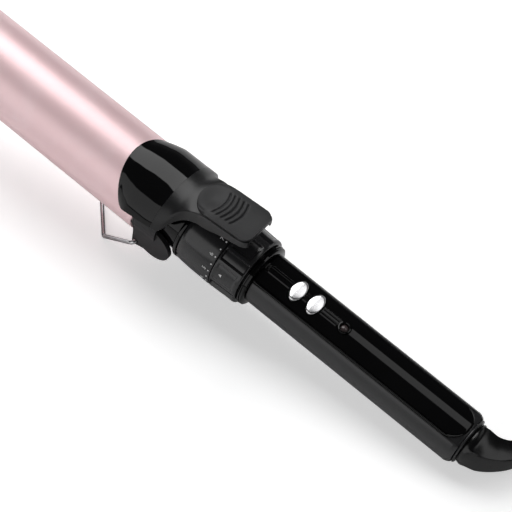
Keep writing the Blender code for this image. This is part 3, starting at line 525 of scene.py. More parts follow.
ribs_in_a_row = rib_tree()
plug = loft("mains_plug", [plug_ring(i / PLUG_SECTIONS) for i in range(PLUG_SECTIONS + 1)])
plug_rib_step = (1.0 - PLUG_RIB_FIRST) * PLUG_LONG / PLUG_RIBS
plug_rib_values = {
    "Count": PLUG_RIBS,
    "First": (PLUG_LOW.x + PLUG_RIB_FIRST * PLUG_LONG, PLUG_MIDDLE.y, PLUG_MIDDLE.z),
    "Step": (plug_rib_step, 0.0, 0.0),
    "Radius": PLUG_NECK,
    "Width": 0.55 * plug_rib_step,
    "Taper": 0.0,
    "Material": rubber,
}
grown(plug, ribs_in_a_row, plug_rib_values)
dress(plug, None, "handle", "cord_rubber", "plug_body")
chrome = finish_material("polished_chrome", (0.86, 0.86, 0.88), 0.06, 0.12, metallic=1.0, depth=0.000002)


PIN_SIDES = 32
PIN_TIP = 0.55
PIN_CHAMFER = 0.0012


def pin_rings(low, high):
    """A plug pin along X, with a chamfered tip at its low end."""
    middle = (low + high) / 2
    radius = (high.y - low.y) / 2
    turns = [2 * math.pi * i / PIN_SIDES for i in range(PIN_SIDES)]
    rings = []
    for x, k in [(low.x, PIN_TIP), (low.x + PIN_CHAMFER, 1.0), (high.x, 1.0)]:
        r = k * radius
        rings.append([(x, middle.y + r * math.cos(t), middle.z + r * math.sin(t)) for t in turns])
    return rings


for pin_name in ("plug_pin_live", "plug_pin_neutral"):
    pin = loft(pin_name + "_turned", pin_rings(*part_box(pin_name)))
    dress(pin, chrome, "handle", "chrome", pin_name)

# ---------------------------------------------------------------- studio
# A white table under a wide soft box on the barrel's side, a dim strip over the handle, and a wide soft
# box low on the near side. The room round them is dark, so that the gloss pieces stay black.

FLOOR_WHITE = (0.95, 0.95, 0.95, 1.0)
FLOOR_GLOW = 0.46
OVERHEAD_RADIANCE = 3.5
STRIP_RADIANCE = 1.4
NEAR_RADIANCE = 1.15


def soft_box(name, middle, aim, size, radiance):
    """A rectangular area light: size is (along X, across), and radiance is its own brightness."""
    data = bpy.data.lights.new(name, "AREA")
    data.shape = "RECTANGLE"
    data.size, data.size_y = size
    data.energy = radiance * math.pi * size[0] * size[1]
    light = bpy.data.objects.new(name, data)
    bpy.context.scene.collection.objects.link(light)
    back = (Vector(middle) - Vector(aim)).normalized()
    across = back.cross(Vector((1, 0, 0))).normalized()
    along = across.cross(back)
    light.matrix_world = Matrix.Translation(middle) @ Matrix((along, across, back)).transposed().to_4x4()
    return light


soft_box("overhead_box", (-0.80, 0.36, 0.90), (-0.45, 0.0, 0.03), (1.40, 0.84), OVERHEAD_RADIANCE)
soft_box("handle_strip", (0.46, 0.46, 0.88), (0.10, 0.0, 0.03), (1.00, 0.38), STRIP_RADIANCE)
soft_box("near_box", (-0.20, -1.10, 0.50), (-0.02, 0.0, 0.03), (1.80, 0.92), NEAR_RADIANCE)

floor_mesh = bpy.data.meshes.new("floor")
floor_mesh.from_pydata([(-3, -3, 0), (3, -3, 0), (3, 3, 0), (-3, 3, 0)], [], [(0, 1, 2, 3)])
floor = bpy.data.objects.new("floor", floor_mesh)
bpy.context.scene.collection.objects.link(floor)
floor_paint = bpy.data.materials.new("table_white")
floor_paint.use_nodes = True
floor_shader = floor_paint.node_tree.nodes["Principled BSDF"]
floor_shader.inputs["Base Color"].default_value = FLOOR_WHITE
floor_shader.inputs["Roughness"].default_value = 0.9
floor_shader.inputs["Specular IOR Level"].default_value = 0.1
# The table glows a little towards the camera only, as a backlit sweep does, so its shadows stay soft.
floor_glow = floor_paint.node_tree.nodes.new("ShaderNodeMath")
floor_glow.operation = "MULTIPLY"
floor_glow.inputs[1].default_value = FLOOR_GLOW
floor_view = floor_paint.node_tree.nodes.new("ShaderNodeLightPath")
floor_paint.node_tree.links.new(floor_view.outputs["Is Camera Ray"], floor_glow.inputs[0])
floor_paint.node_tree.links.new(floor_glow.outputs[0], floor_shader.inputs["Emission Strength"])
floor_shader.inputs["Emission Color"].default_value = (1.0, 1.0, 1.0, 1.0)
floor_mesh.materials.append(floor_paint)

studio = bpy.data.worlds.new("studio")
bpy.context.scene.world = studio
studio.use_nodes = True
sky = studio.node_tree
sky_way = sky.nodes.new("ShaderNodeTexCoord")
sky_split = sky.nodes.new("ShaderNodeSeparateXYZ")
sky_ramp = sky.nodes.new("ShaderNodeValToRGB")
sky_ramp.color_ramp.elements[0].position = 0.0
sky_ramp.color_ramp.elements[0].color = (0.12, 0.12, 0.123, 1.0)
sky_ramp.color_ramp.elements[1].position = 0.30
sky_ramp.color_ramp.elements[1].color = (0.05, 0.05, 0.052, 1.0)
sky.links.new(sky_way.outputs["Generated"], sky_split.inputs[0])
sky.links.new(sky_split.outputs["Z"], sky_ramp.inputs[0])
sky.links.new(sky_ramp.outputs[0], sky.nodes["Background"].inputs[0])
sky.nodes["Background"].inputs[1].default_value = 1.0

# ---------------------------------------------------------------- the wand's own frame, and its barrel
# The barrel is a drawn aluminium tube, 38 mm across, with lightly rolled ends. A satin pink ceramic coat
# is sprayed on and baked. Its rear end is pushed over the neck and its front end holds the cool tip.

TIP_STATION = 0.3310
REARWARD = -Vector(record["mounts"][0]["axis"])
UPWARD = REARWARD.cross(Vector((0.0, 1.0, 0.0)))
REAR_POINT = Vector(record["mounts"][0]["pos_m"]) + REARWARD * TIP_STATION
BARREL_RADIUS = 0.0190
BARREL_WALL = 0.0012
BARREL_SPAN = (0.1715, 0.3030)
ON_AXIS = 1e-5


def wand(station, y, z):
    """A point this far from the handle's rear end along the wand, at y and z from its axis."""
    return REAR_POINT - REARWARD * station + Vector((0.0, y, 0.0)) + UPWARD * z


def clock(radius, angle):
    """(y, z) at an angle from straight up, positive towards the near side."""
    return -radius * math.sin(angle), radius * math.cos(angle)


def spread(low, high, count):
    return [low + (high - low) * i / (count - 1) for i in range(count)]


def turned(name, profile, segments=128, looped=True, sharp_degrees=40.0):
    """A piece turned about the wand's axis from (station, radius) points."""
    turns = spread(0.0, 2 * math.pi * (1 - 1 / segments), segments)
    rings = [[wand(s, *clock(max(r, ON_AXIS), t)) for t in turns] for s, r in profile]
    return loft(name, rings, looped=looped, sharp_degrees=sharp_degrees)


def pink_coat():
    """Satin ceramic paint: a pearl of fine flakes under a thin, slightly uneven lacquer."""
    made = finish_material(
        "pink_ceramic_coat", (0.96, 0.685, 0.705), 0.40, 0.46, metallic=0.34, grain=5200.0, depth=0.000004
    )
    tree = made.node_tree
    shader = tree.nodes["Principled BSDF"]
    shader.inputs["Coat Weight"].default_value = 0.25
    shader.inputs["Coat Roughness"].default_value = 0.28
    place = tree.nodes.new("ShaderNodeTexCoord")
    flakes = node(tree, "ShaderNodeTexVoronoi", Scale=9000.0)
    pearl = node(tree, "ShaderNodeMapRange", From_Max=1.0, To_Min=0.28, To_Max=0.40)
    tree.links.new(place.outputs["Object"], flakes.inputs["Vector"])
    tree.links.new(flakes.outputs["Color"], pearl.inputs["Value"])
    tree.links.new(pearl.outputs["Result"], shader.inputs["Metallic"])
    return made


pink = pink_coat()
barrel_profile = [
    (BARREL_SPAN[1], BARREL_RADIUS - BARREL_WALL),
    (BARREL_SPAN[1], BARREL_RADIUS),
    (BARREL_SPAN[0], BARREL_RADIUS),
    (BARREL_SPAN[0], BARREL_RADIUS - BARREL_WALL),
]
barrel = soften(turned("ceramic_barrel", barrel_profile, segments=192), 0.0004)
dress(barrel, pink, "handle", "pink_ceramic", "barrel")

# ---------------------------------------------------------------- cool tip
# A moulded plug of heat-resistant nylon, with three finger grooves round its nose. It is pushed into
# the barrel's end, so that the tip can be held while the barrel is hot.

TIP_PROFILE = [
    (0.3310, 0.0),
    (0.3310, 0.0095),
    (0.3306, 0.0106),
    (0.3298, 0.0118),
    (0.3280, 0.0127),
    (0.3255, 0.0131),
    (0.3240, 0.0124),
    (0.3228, 0.0132),
    (0.3212, 0.0125),
    (0.3200, 0.0133),
    (0.3184, 0.0126),
    (0.3172, 0.0135),
    (0.3150, 0.0138),
    (0.3110, 0.0152),
    (0.3085, 0.0170),
    (0.3062, 0.0184),
    (0.3050, 0.0186),
    (0.3033, 0.0186),
    (0.3033, 0.0174),
    (0.2970, 0.0174),
    (0.2970, 0.0),
]
satin = finish_material("satin_black", (0.013, 0.013, 0.014), 0.30, 0.40, grain=3000.0, depth=0.000012)
cool_tip = turned("moulded_cool_tip", TIP_PROFILE, looped=False, sharp_degrees=50.0)
dress(cool_tip, satin, "handle", "satin_black", "cool_tip")

# ---------------------------------------------------------------- clip blade
# A trough pressed from thin steel sheet and rolled to the barrel's curve, with a rounded end. It has the
# same pink coat as the barrel, and its root is fixed inside the clip's cover.

BLADE_RADIUS = 0.0200
BLADE_WALL = 0.0008
BLADE_HALF_ANGLE = math.radians(80.0)
BLADE_STRAIGHT_END = 0.2740
BLADE_END = 0.2990
BLADE_START = 0.1705
BLADE_EDGE = 0.0002


def blade_reach(angle):
    """Where the rounded end lies at one clock angle."""
    bow = math.sqrt(max(0.0, 1 - (angle / BLADE_HALF_ANGLE) ** 2))
    return BLADE_STRAIGHT_END + (BLADE_END - BLADE_STRAIGHT_END) * bow


def blade_section(angle):
    """The trough's wall at one clock angle, from its root round its rounded end."""
    end = blade_reach(angle)
    outer, inner = BLADE_RADIUS, BLADE_RADIUS - BLADE_WALL
    corners = [(BLADE_START, outer), (end - BLADE_EDGE, outer), (end, outer - BLADE_EDGE)]
    corners += [(end, inner + BLADE_EDGE / 2), (end - BLADE_EDGE / 2, inner), (BLADE_START, inner)]
    return [wand(s, *clock(r, angle)) for s, r in corners]


blade_turns = [BLADE_HALF_ANGLE * math.sin(math.pi / 2 * k) for k in spread(-1.0, 1.0, 97)]
blade = loft("pink_blade", [blade_section(a) for a in blade_turns], sharp_degrees=30.0)
dress(blade, pink, "clip", "pink_ceramic", "clip_blade")

# ---------------------------------------------------------------- clip cover and thumb lever
# A mirror-gloss half collar over the blade's root, with a flared front, is fixed on a satin moulding
# that starts where its gloss ends and rises into the thumb lever.

COVER_RADIUS = 0.0225
COVER_FRONT = 0.1881
COVER_SLANT = 0.63
LEVER_HALF_WIDTH = [(0.1434, 0.0098), (0.1500, 0.0120), (0.1560, 0.0135)]
LEVER_ROOT = [(0.1434, 1.0), (0.1562, 0.0)]
LEVER_FLAT = 0.74
LEVER_SPREAD = 1.35
LEVER_NARROWING = [(0.1178, 0.80), (0.1188, 0.90), (0.1205, 0.96), (0.1244, 1.0)]
COVER_COLUMNS = 73
FLARE_START = 0.1740
SPAN_REACH = 0.0012
FLOW_STEPS = 4
GLOSS_END = 0.1600
COVER_SPAN = [
    (0.1380, 25.0),
    (0.1434, 26.0),
    (0.1481, 33.0),
    (0.1505, 39.5),
    (0.1523, 44.0),
    (0.1562, 62.7),
    (0.1800, 71.0),
]
LEVER_TOP = [(0.1178, 0.0327), (0.1380, 0.0302), (0.1500, 0.0270), (0.1560, 0.0240), (0.1620, COVER_RADIUS)]
LEVER_EDGE = [(0.1178, 0.0285), (0.1244, 0.0273), (0.1336, 0.0240), (0.1380, 0.0214), (0.1434, 0.0202)]
COVER_SWELL = [(FLARE_START, 0.0), (0.1820, -0.0010), (COVER_FRONT, -0.0021)]
COVER_WALL = [(0.1178, 0.0018), (FLARE_START, 0.0015), (0.1820, 0.0010), (COVER_FRONT, 0.0004)]


def between(pairs, x):
    """The value at x of a line through (x, value) pairs in rising x."""
    if x <= pairs[0][0]:
        return pairs[0][1]
    for (x0, v0), (x1, v1) in zip(pairs, pairs[1:]):
        if x <= x1:
            return v0 + (v1 - v0) * (x - x0) / (x1 - x0)
    return pairs[-1][1]


def flowing(pairs, x, reach=0.0022):
    """The same line with its corners rounded off over this reach."""
    places = [x + reach * k / FLOW_STEPS for k in range(-FLOW_STEPS, FLOW_STEPS + 1)]
    return sum(between(pairs, place) for place in places) / len(places)


def cover_row(station, offset):
    """One cross-section of the cover, moved inwards by offset: a half ring that turns into the lever."""
    share = ease(between(LEVER_ROOT, station))
    half = math.radians(flowing(COVER_SPAN, station, SPAN_REACH))
    radius = COVER_RADIUS + flowing(COVER_SWELL, station) - offset
    top = flowing(LEVER_TOP, station) - offset
    edge = flowing(LEVER_EDGE, station)
    lever_half = between(LEVER_HALF_WIDTH, station) - offset
    raised = top - (COVER_RADIUS - offset)
    row = []
    for u in spread(-1.0, 1.0, COVER_COLUMNS):
        y, z = clock(radius, half * u)
        lever_y = -lever_half * max(-1.0, min(1.0, LEVER_SPREAD * u))
        lever_z = top - (top - edge) * max(0.0, (abs(u) - LEVER_FLAT) / (1 - LEVER_FLAT))
        y += (lever_y - y) * share
        z += (lever_z - z) * share + (1 - share) * max(0.0, raised) * (1 - u**4)
        row.append((y, z))
    return row


def cover_ring(station):
    """The closed section through the cover's wall at one station, slanted at the front."""
    narrowing = between(LEVER_NARROWING, station)
    slant = COVER_SLANT * between([(FLARE_START, 0.0), (COVER_FRONT, 1.0)], station)
    wall = flowing(COVER_WALL, station)
    outer = cover_row(station, 0.0)
    inner = cover_row(station, wall)
    ring = []
    for y, z in outer + inner[::-1]:
        ring.append(wand(station - slant * (COVER_RADIUS - z), y * narrowing, z))
    return ring


gloss = finish_material(
    "gloss_black", (0.002, 0.002, 0.0022), 0.045, 0.10, grain=1500.0, depth=0.000001, swell=0.8, shine=0.27
)
cover_stations = [COVER_FRONT, 0.1878, 0.1872, 0.1862] + spread(0.1845, GLOSS_END + 0.0004, 28) + [GLOSS_END]
collar = loft("gloss_collar", [cover_ring(s) for s in cover_stations], sharp_degrees=34.0)
dress(collar, gloss, "clip", "gloss_black", "clip_cover")
lever_stations = [GLOSS_END] + spread(GLOSS_END - 0.0004, 0.1185, 56) + [0.1181, 0.1178]
lever = loft("satin_lever", [cover_ring(s) for s in lever_stations], sharp_degrees=34.0)
lever_satin = finish_material(
    "lever_satin", (0.007, 0.007, 0.0075), 0.30, 0.36, grain=3000.0, depth=0.00001, shine=0.30
)
dress(soften(lever, 0.0003, 3, 40.0), lever_satin, "clip", "gloss_black")

# ---------------------------------------------------------------- thumb pad
# A soft matte grip, moulded from thermoplastic rubber and let into the lever's top. It has a thumb dish
# in front, five curved grooves behind it and a rounded end.

PAD_FRONT_RADIUS = 0.0093
PAD_SHOULDER = 0.1402
PAD_REAR = 0.1176
PAD_RISE = 0.0020
DISH_STATION = 0.1424
DISH_RADIUS = 0.0084
DISH_DEPTH = 0.0012
DISH_RIM_HEIGHT = 0.0004
DISH_RIM_HALF = 0.0009
DISH_RIM_START = 0.1400
DISH_RIM_FADE = 0.003
PAD_CROWN = 9.0
PAD_REAR_ROUND = 0.1222
PAD_REAR_SHARE = 0.55
GROOVE_STATIONS = [0.1374, 0.1350, 0.1326, 0.1302, 0.1278]
GROOVE_BOW = 0.0130
GROOVE_HALF = 0.00042
GROOVE_DEPTH = 0.00055
GROOVE_REACH = 0.0058
GROOVE_FADE = 0.0010


def pad_half_width(station):
    if station > PAD_SHOULDER:
        return math.sqrt(max(0.0, PAD_FRONT_RADIUS**2 - (station - PAD_SHOULDER) ** 2))
    rear = max(0.0, (PAD_REAR_ROUND - station) / (PAD_REAR_ROUND - PAD_REAR))
    bow = math.sqrt(max(0.0, 1 - rear**2))
    return PAD_FRONT_RADIUS * (PAD_REAR_SHARE + (1 - PAD_REAR_SHARE) * bow)


def pad_height(station, y):
    """The grip's surface over the lever, with its dish and grooves."""
    away = math.hypot(station - DISH_STATION, y)
    dish = DISH_DEPTH * (1 - ease(away / DISH_RADIUS))
    rim = DISH_RIM_HEIGHT * math.exp(-(((away - DISH_RADIUS) / DISH_RIM_HALF) ** 2))
    rim *= ease((station - DISH_RIM_START) / DISH_RIM_FADE)
    cut = 0.0
    for groove in GROOVE_STATIONS:
        line = groove + GROOVE_BOW - math.sqrt(GROOVE_BOW**2 - y * y)
        cut += math.exp(-(((station - line) / GROOVE_HALF) ** 2))
    cut *= GROOVE_DEPTH * (1 - ease((abs(y) - GROOVE_REACH) / GROOVE_FADE))
    return flowing(LEVER_TOP, station) + PAD_RISE - PAD_CROWN * y * y - dish + rim - cut


PAD_COLUMNS = 61
PAD_SET = 0.0002
pad_stations = [PAD_SHOULDER + PAD_FRONT_RADIUS * math.sin(math.radians(a)) for a in spread(88.0, 2.0, 36)]
pad_stations += spread(PAD_SHOULDER - 0.0003, PAD_REAR + 0.0012, 90)
pad_stations += [PAD_REAR + 0.0008, PAD_REAR + 0.0004, PAD_REAR + 0.0001]
pad_rings = []
for station in pad_stations:
    half = pad_half_width(station)
    across = [half * math.sin(math.pi / 2 * k) for k in spread(-1.0, 1.0, PAD_COLUMNS)]
    top = [wand(station, y, pad_height(station, y)) for y in across]
    base = flowing(LEVER_TOP, station) - PAD_SET
    pad_rings.append(top + [wand(station, across[-1], base), wand(station, across[0], base)])
matte = finish_material(
    "matte_charcoal", (0.015, 0.015, 0.016), 0.46, 0.56, grain=2600.0, depth=0.00003, shine=0.25
)
pad = loft("thumb_grip", pad_rings, sharp_degrees=55.0)
dress(pad, matte, "clip", "matte_charcoal", "thumb_pad")

# ---------------------------------------------------------------- neck, number ring, dial, front ring
# The neck is a gloss moulded tube between the barrel and the handle. A fixed number ring and a ribbed
# dial, moulded in a duller black, sit on its sleeve, and a thin grooved ring closes it at the handle.

NECK_PROFILE = [
    (0.1712, 0.0100),
    (0.1712, 0.0149),
    (0.1500, 0.0149),
    (0.1496, 0.0162),
    (0.1490, 0.0166),
    (0.1478, 0.0166),
    (0.1478, 0.0143),
    (0.1142, 0.0143),
    (0.1142, 0.0087),
    (0.1030, 0.0087),
    (0.1030, 0.0072),
    (0.1300, 0.0072),
    (0.1340, 0.0100),
]
neck = turned("neck_tube", NECK_PROFILE)
dress(neck, gloss, "handle", "gloss_black", "neck_housing")

RING_PROFILE = [
    (0.1475, 0.0146),
    (0.1475, 0.0160),
    (0.1471, 0.0164),
    (0.1440, 0.0167),
    (0.1400, 0.0169),
    (0.1290, 0.0170),
    (0.1287, 0.0168),
    (0.1285, 0.0164),
    (0.1285, 0.0146),
]
number_ring = turned("number_ring_printed", RING_PROFILE)
ring_black = finish_material("ring_black", (0.015, 0.015, 0.016), 0.20, 0.27, grain=2600.0, depth=0.000006)
dress(number_ring, ring_black, "handle", "satin_black", "number_ring")

DIAL_FRONT = 0.1282
DIAL_REAR = 0.1145
DIAL_BORE = 0.0146
DIAL_BLOCKS = 6
DIAL_FIRST_BLOCK = math.radians(65.0)
DIAL_BLOCK_HALF = math.radians(20.0)
DIAL_CHANNEL = 0.0015
DIAL_DISH = 0.0005
DIAL_DISH_HALF = math.radians(13.0)
DIAL_SLOPE = math.radians(3.0)
DIAL_CHANNEL_ENDS = (0.1149, 0.1271)
DIAL_CHANNEL_FADES = (0.0010, 0.0008)
DIAL_DISH_ENDS = (0.1160, 0.1262)
DIAL_DISH_FADES = (0.0016, 0.0010)
DIAL_EDGE = 0.1278
DIAL_EDGE_FADE = 0.0004
DIAL_TRIM = 0.0003
DIAL_SIDES = 360
DIAL_OUTLINE = [
    (0.1145, 0.0158),
    (0.1150, 0.0164),
    (0.1158, 0.0166),
    (0.1200, 0.0167),
    (0.1240, 0.0169),
    (0.1280, 0.0170),
]


def window(x, ends, fades):
    """1 between two ends and 0 outside, rising after the first end and falling after the second."""
    return ease((x - ends[0]) / fades[0]) * (1 - ease((x - ends[1]) / fades[1]))


def dial_radius(station, angle):
    """The dial's surface: dished blocks with raised rims, between deep channels with rounded ends."""
    pitch = 2 * math.pi / DIAL_BLOCKS
    away = abs((angle - DIAL_FIRST_BLOCK + pitch / 2) % pitch - pitch / 2)
    channel = ease((away - DIAL_BLOCK_HALF) / DIAL_SLOPE)
    open_end = window(station, DIAL_CHANNEL_ENDS, DIAL_CHANNEL_FADES)
    inside = (1 - ease((away - DIAL_DISH_HALF) / DIAL_SLOPE)) * open_end
    dish = inside * window(station, DIAL_DISH_ENDS, DIAL_DISH_FADES)
    return between(DIAL_OUTLINE, station) - DIAL_CHANNEL * channel * open_end - DIAL_DISH * dish


dial_turns = spread(0.0, 2 * math.pi * (1 - 1 / DIAL_SIDES), DIAL_SIDES)
dial_stations = [DIAL_REAR, 0.1147] + spread(0.1149, 0.1279, 53) + [0.1281, DIAL_FRONT]
dial_rings = [[wand(DIAL_REAR, *clock(DIAL_BORE, t)) for t in dial_turns]]
for station in dial_stations:
    trim = DIAL_TRIM * ease((station - DIAL_EDGE) / DIAL_EDGE_FADE)
    dial_rings.append([wand(station, *clock(dial_radius(station, t) - trim, t)) for t in dial_turns])
dial_rings.append([wand(DIAL_FRONT, *clock(DIAL_BORE, t)) for t in dial_turns])
dial = loft("ribbed_dial", dial_rings, looped=True, sharp_degrees=45.0)
dress(dial, ring_black, "dial", "satin_black", "dial_ring")

FRONT_RING_PROFILE = [
    (0.1139, 0.0091),
    (0.1139, 0.0149),
    (0.1136, 0.0152),
    (0.1131, 0.0152),
    (0.1129, 0.0147),
    (0.1126, 0.0147),
    (0.1124, 0.0151),
    (0.1118, 0.0150),
    (0.1115, 0.0146),
    (0.1115, 0.0091),
]
front_ring = turned("grooved_front_ring", FRONT_RING_PROFILE)
dress(front_ring, gloss, "handle", "gloss_black", "front_ring")

# ---------------------------------------------------------------- printed numbers and the dial's mark
# White pad printing, a few hundredths of a millimetre thick: plain numbers and dots round the number
# ring, and a small arrow on one of the dial's blocks.

PRINT_SURFACE = [(0.1290, 0.0170), (0.1400, 0.0169)]
PRINT_LIFT = 0.00006
PRINT_THICK = 0.00006
NUMBERS = 9
NUMBER_FIRST = math.radians(-34.5)
NUMBER_STEP = math.radians(27.0)
NUMBER_HEIGHT = 0.0027
NUMBER_STATION = 0.1310
DOT_STATION = 0.1296
DOT_RADIUS = 0.00036
DOT_RING_RADIUS = 0.01704
DOT_SIDES = 16
DOT_UNEVEN = 0.06
ARROW_STATION = 0.1238
ARROW_ANGLE = math.radians(67.8)
ARROW_RADIUS = 0.01640
ARROW_SIZE = 0.0009
print_white = finish_material("print_white", (0.82, 0.82, 0.82), 0.55, 0.65, grain=4000.0, depth=0.000004)


def wrapped(piece, station, angle, radius_at):
    """Lays a flat mesh in XY round the wand: its X goes round, its Y goes towards the tip."""
    for vertex in piece.data.vertices:
        x, y, lift = vertex.co
        radius = radius_at(station + y) + PRINT_LIFT + lift
        vertex.co = wand(station + y, *clock(radius, angle - x / radius))
    return piece


def printed_number(text, index, angle):
    letters = bpy.data.curves.new("number_" + text, "FONT")
    letters.body = text
    letters.size = NUMBER_HEIGHT
    letters.align_x = "CENTER"
    letters.resolution_u = 3
    letters.extrude = PRINT_THICK / 2
    guide = bpy.data.objects.new("number_guide", letters)
    bpy.context.scene.collection.objects.link(guide)
    bpy.context.view_layer.update()
    mesh = bpy.data.meshes.new_from_object(guide.evaluated_get(bpy.context.evaluated_depsgraph_get()))
    bpy.data.objects.remove(guide)
    piece = bpy.data.objects.new(f"printed_number_{index}", mesh)
    bpy.context.scene.collection.objects.link(piece)
    wrapped(piece, NUMBER_STATION, angle, lambda s: between(PRINT_SURFACE, s))
    dress(piece, print_white, "handle", "dark_lens")
    return piece


def printed_mark(name, station, angle, radius, size, body):
    """A printed triangle on a turned surface, with one corner towards the tip."""
    turns = [2 * math.pi * i / 3 for i in range(3)]
    flat = [(size * math.cos(t + math.pi / 2), size * math.sin(t + math.pi / 2)) for t in turns]
    rings = [[(x, y, z) for x, y in flat] for z in (-PRINT_THICK / 2, PRINT_THICK / 2)]
    piece = loft(name, rings)
    wrapped(piece, station, angle, lambda s: radius)
    return dress(piece, print_white, body, "dark_lens")


def dot_tree():
    """Repeats a small mesh, which faces +X, round the Z axis: not quite evenly sized, as print is."""
    kinds = [("Geometry", "Geometry"), ("Count", "Int"), ("First", "Float"), ("Step", "Float")]
    kinds += [("Radius", "Float"), ("Uneven", "Float"), ("Seed", "Int"), ("Material", "Material")]
    tree, given = new_tree("dots_round_a_ring", kinds)
    index = tree.nodes.new("GeometryNodeInputIndex")
    turn = number_node(
        tree, "MULTIPLY_ADD", index.outputs[0], given.outputs["Step"], given.outputs["First"]
    )
    place = tree.nodes.new("ShaderNodeCombineXYZ")
    for axis, operation in (("X", "COSINE"), ("Y", "SINE")):
        reach = number_node(tree, operation, turn)
        reach = number_node(tree, "MULTIPLY", reach, given.outputs["Radius"])
        tree.links.new(reach, place.inputs[axis])
    spots = tree.nodes.new("GeometryNodePoints")
    spin = tree.nodes.new("ShaderNodeCombineXYZ")
    facing = tree.nodes.new("FunctionNodeEulerToRotation")
    uneven = tree.nodes.new("FunctionNodeRandomValue")
    uneven.data_type = "FLOAT"
    floats = [socket for socket in uneven.inputs if socket.type == "VALUE"]
    dots = tree.nodes.new("GeometryNodeInstanceOnPoints")
    tree.links.new(given.outputs["Count"], spots.inputs["Count"])
    tree.links.new(place.outputs["Vector"], spots.inputs["Position"])
    tree.links.new(turn, spin.inputs["Z"])
    tree.links.new(spin.outputs["Vector"], facing.inputs["Euler"])
    tree.links.new(number_node(tree, "SUBTRACT", 1.0, given.outputs["Uneven"]), floats[0])
    tree.links.new(number_node(tree, "ADD", 1.0, given.outputs["Uneven"]), floats[1])
    tree.links.new(given.outputs["Seed"], uneven.inputs["Seed"])
    tree.links.new(spots.outputs[0], dots.inputs["Points"])
    tree.links.new(given.outputs["Geometry"], dots.inputs["Instance"])
    tree.links.new(facing.outputs["Rotation"], dots.inputs["Rotation"])
    tree.links.new(next(s for s in uneven.outputs if s.type == "VALUE"), dots.inputs["Scale"])
    end_tree(tree, given, dots.outputs["Instances"])
    return tree


for number in range(NUMBERS):
    printed_number(str(NUMBERS - number), number, NUMBER_FIRST + NUMBER_STEP * number)
dot_turns = [2 * math.pi * i / DOT_SIDES for i in range(DOT_SIDES)]
dot_rings = []
for lift in (-PRINT_THICK / 2, PRINT_THICK / 2):
    dot_rings.append([(lift, DOT_RADIUS * math.cos(t), DOT_RADIUS * math.sin(t)) for t in dot_turns])
dots = loft("printed_dots", dot_rings)
dot_values = {
    "Count": 2 * NUMBERS,
    "First": NUMBER_FIRST + math.radians(90.0),
    "Step": NUMBER_STEP / 2,
    "Radius": DOT_RING_RADIUS,
    "Uneven": DOT_UNEVEN,
    "Seed": 7,
    "Material": print_white,
}
grown(dots, dot_tree(), dot_values)
wand_axes = Matrix((Vector((0.0, 1.0, 0.0)), UPWARD, REARWARD)).transposed().to_4x4()
dots.data.transform(Matrix.Translation(wand(DOT_STATION, 0.0, 0.0)) @ wand_axes)
dress(dots, None, "handle", "dark_lens")
printed_mark("dial_arrow", ARROW_STATION, ARROW_ANGLE, ARROW_RADIUS, ARROW_SIZE, "dial")

# ---------------------------------------------------------------- handle: lower shell
# A moulded semi-gloss tube of ABS, open along its top for the panel and chamfered at its rear end. It
# is screwed to the neck through its underside.

SHELL_RADIUS = 0.0124
SHELL_WALL = 0.0018
SHELL_END = 0.1112
SHELL_OPEN = math.radians(47.5)
SHELL_REAR_DRAW = [(0.0, 0.0012), (0.0012, 0.0004), (0.0025, 0.0)]
SHELL_THINNEST = 0.0008
SHELL_SIDES = 97


def shell_ring(station):
    outer = SHELL_RADIUS - between(SHELL_REAR_DRAW, station)
    inner = SHELL_RADIUS - SHELL_WALL
    turns = spread(SHELL_OPEN, 2 * math.pi - SHELL_OPEN, SHELL_SIDES)
    ring = [wand(station, *clock(outer, t)) for t in turns]
    ring += [wand(station, *clock(min(inner, outer - SHELL_THINNEST), t)) for t in reversed(turns)]
    return ring


shell_black = finish_material(
    "shell_black", (0.018, 0.018, 0.019), 0.30, 0.34, grain=3000.0, depth=0.000006, swell=0.0
)
shell = loft("handle_shell", [shell_ring(s) for s in (0.0, 0.0008, 0.0016, 0.0025, 0.03, 0.07, SHELL_END)])
dress(soften(shell, 0.00035), shell_black, "handle", "satin_black", "handle_lower_shell")

# ---------------------------------------------------------------- handle: top panel
# A gloss moulded panel snapped into the shell's open top. It is crowned, with a bevelled rim and a
# rounded rear end, and has holes for the two buttons and the lamp.

PANEL_HALF = 0.0088
PANEL_CROWN = 0.0108
PANEL_EDGE = 0.0087
PANEL_REAR = 0.0006
PANEL_ROUND = 0.0085
RIM_WIDTH = 0.0010
RIM_SINK = 0.0004
RIM_POINTS = 12
RIM_TURN = math.radians(165.0)
RIM_GROOVE = 1.1
PANEL_REAR_DROP = 0.0006
PANEL_REAR_FADE = 0.0012
NARROWEST = 0.00005
PANEL_UNDER = 0.0016
PANEL_COLUMNS = 41
BUTTON_PLAY = 0.00035
LENS_HOLE = 0.0032
BUTTONS = {"button_off": 0.0840, "button_on": 0.0935}
BUTTON_HALF = (0.0033, 0.0054)
LED_STATION = 0.0682


def panel_half(station):
    if station > PANEL_REAR + PANEL_ROUND:
        return PANEL_HALF
    left = (PANEL_REAR + PANEL_ROUND - station) / PANEL_ROUND
    return PANEL_HALF * math.sqrt(max(0.0, 1 - left**2))


def panel_height(y):
    return PANEL_CROWN - (PANEL_CROWN - PANEL_EDGE) * (y / PANEL_HALF) ** 2


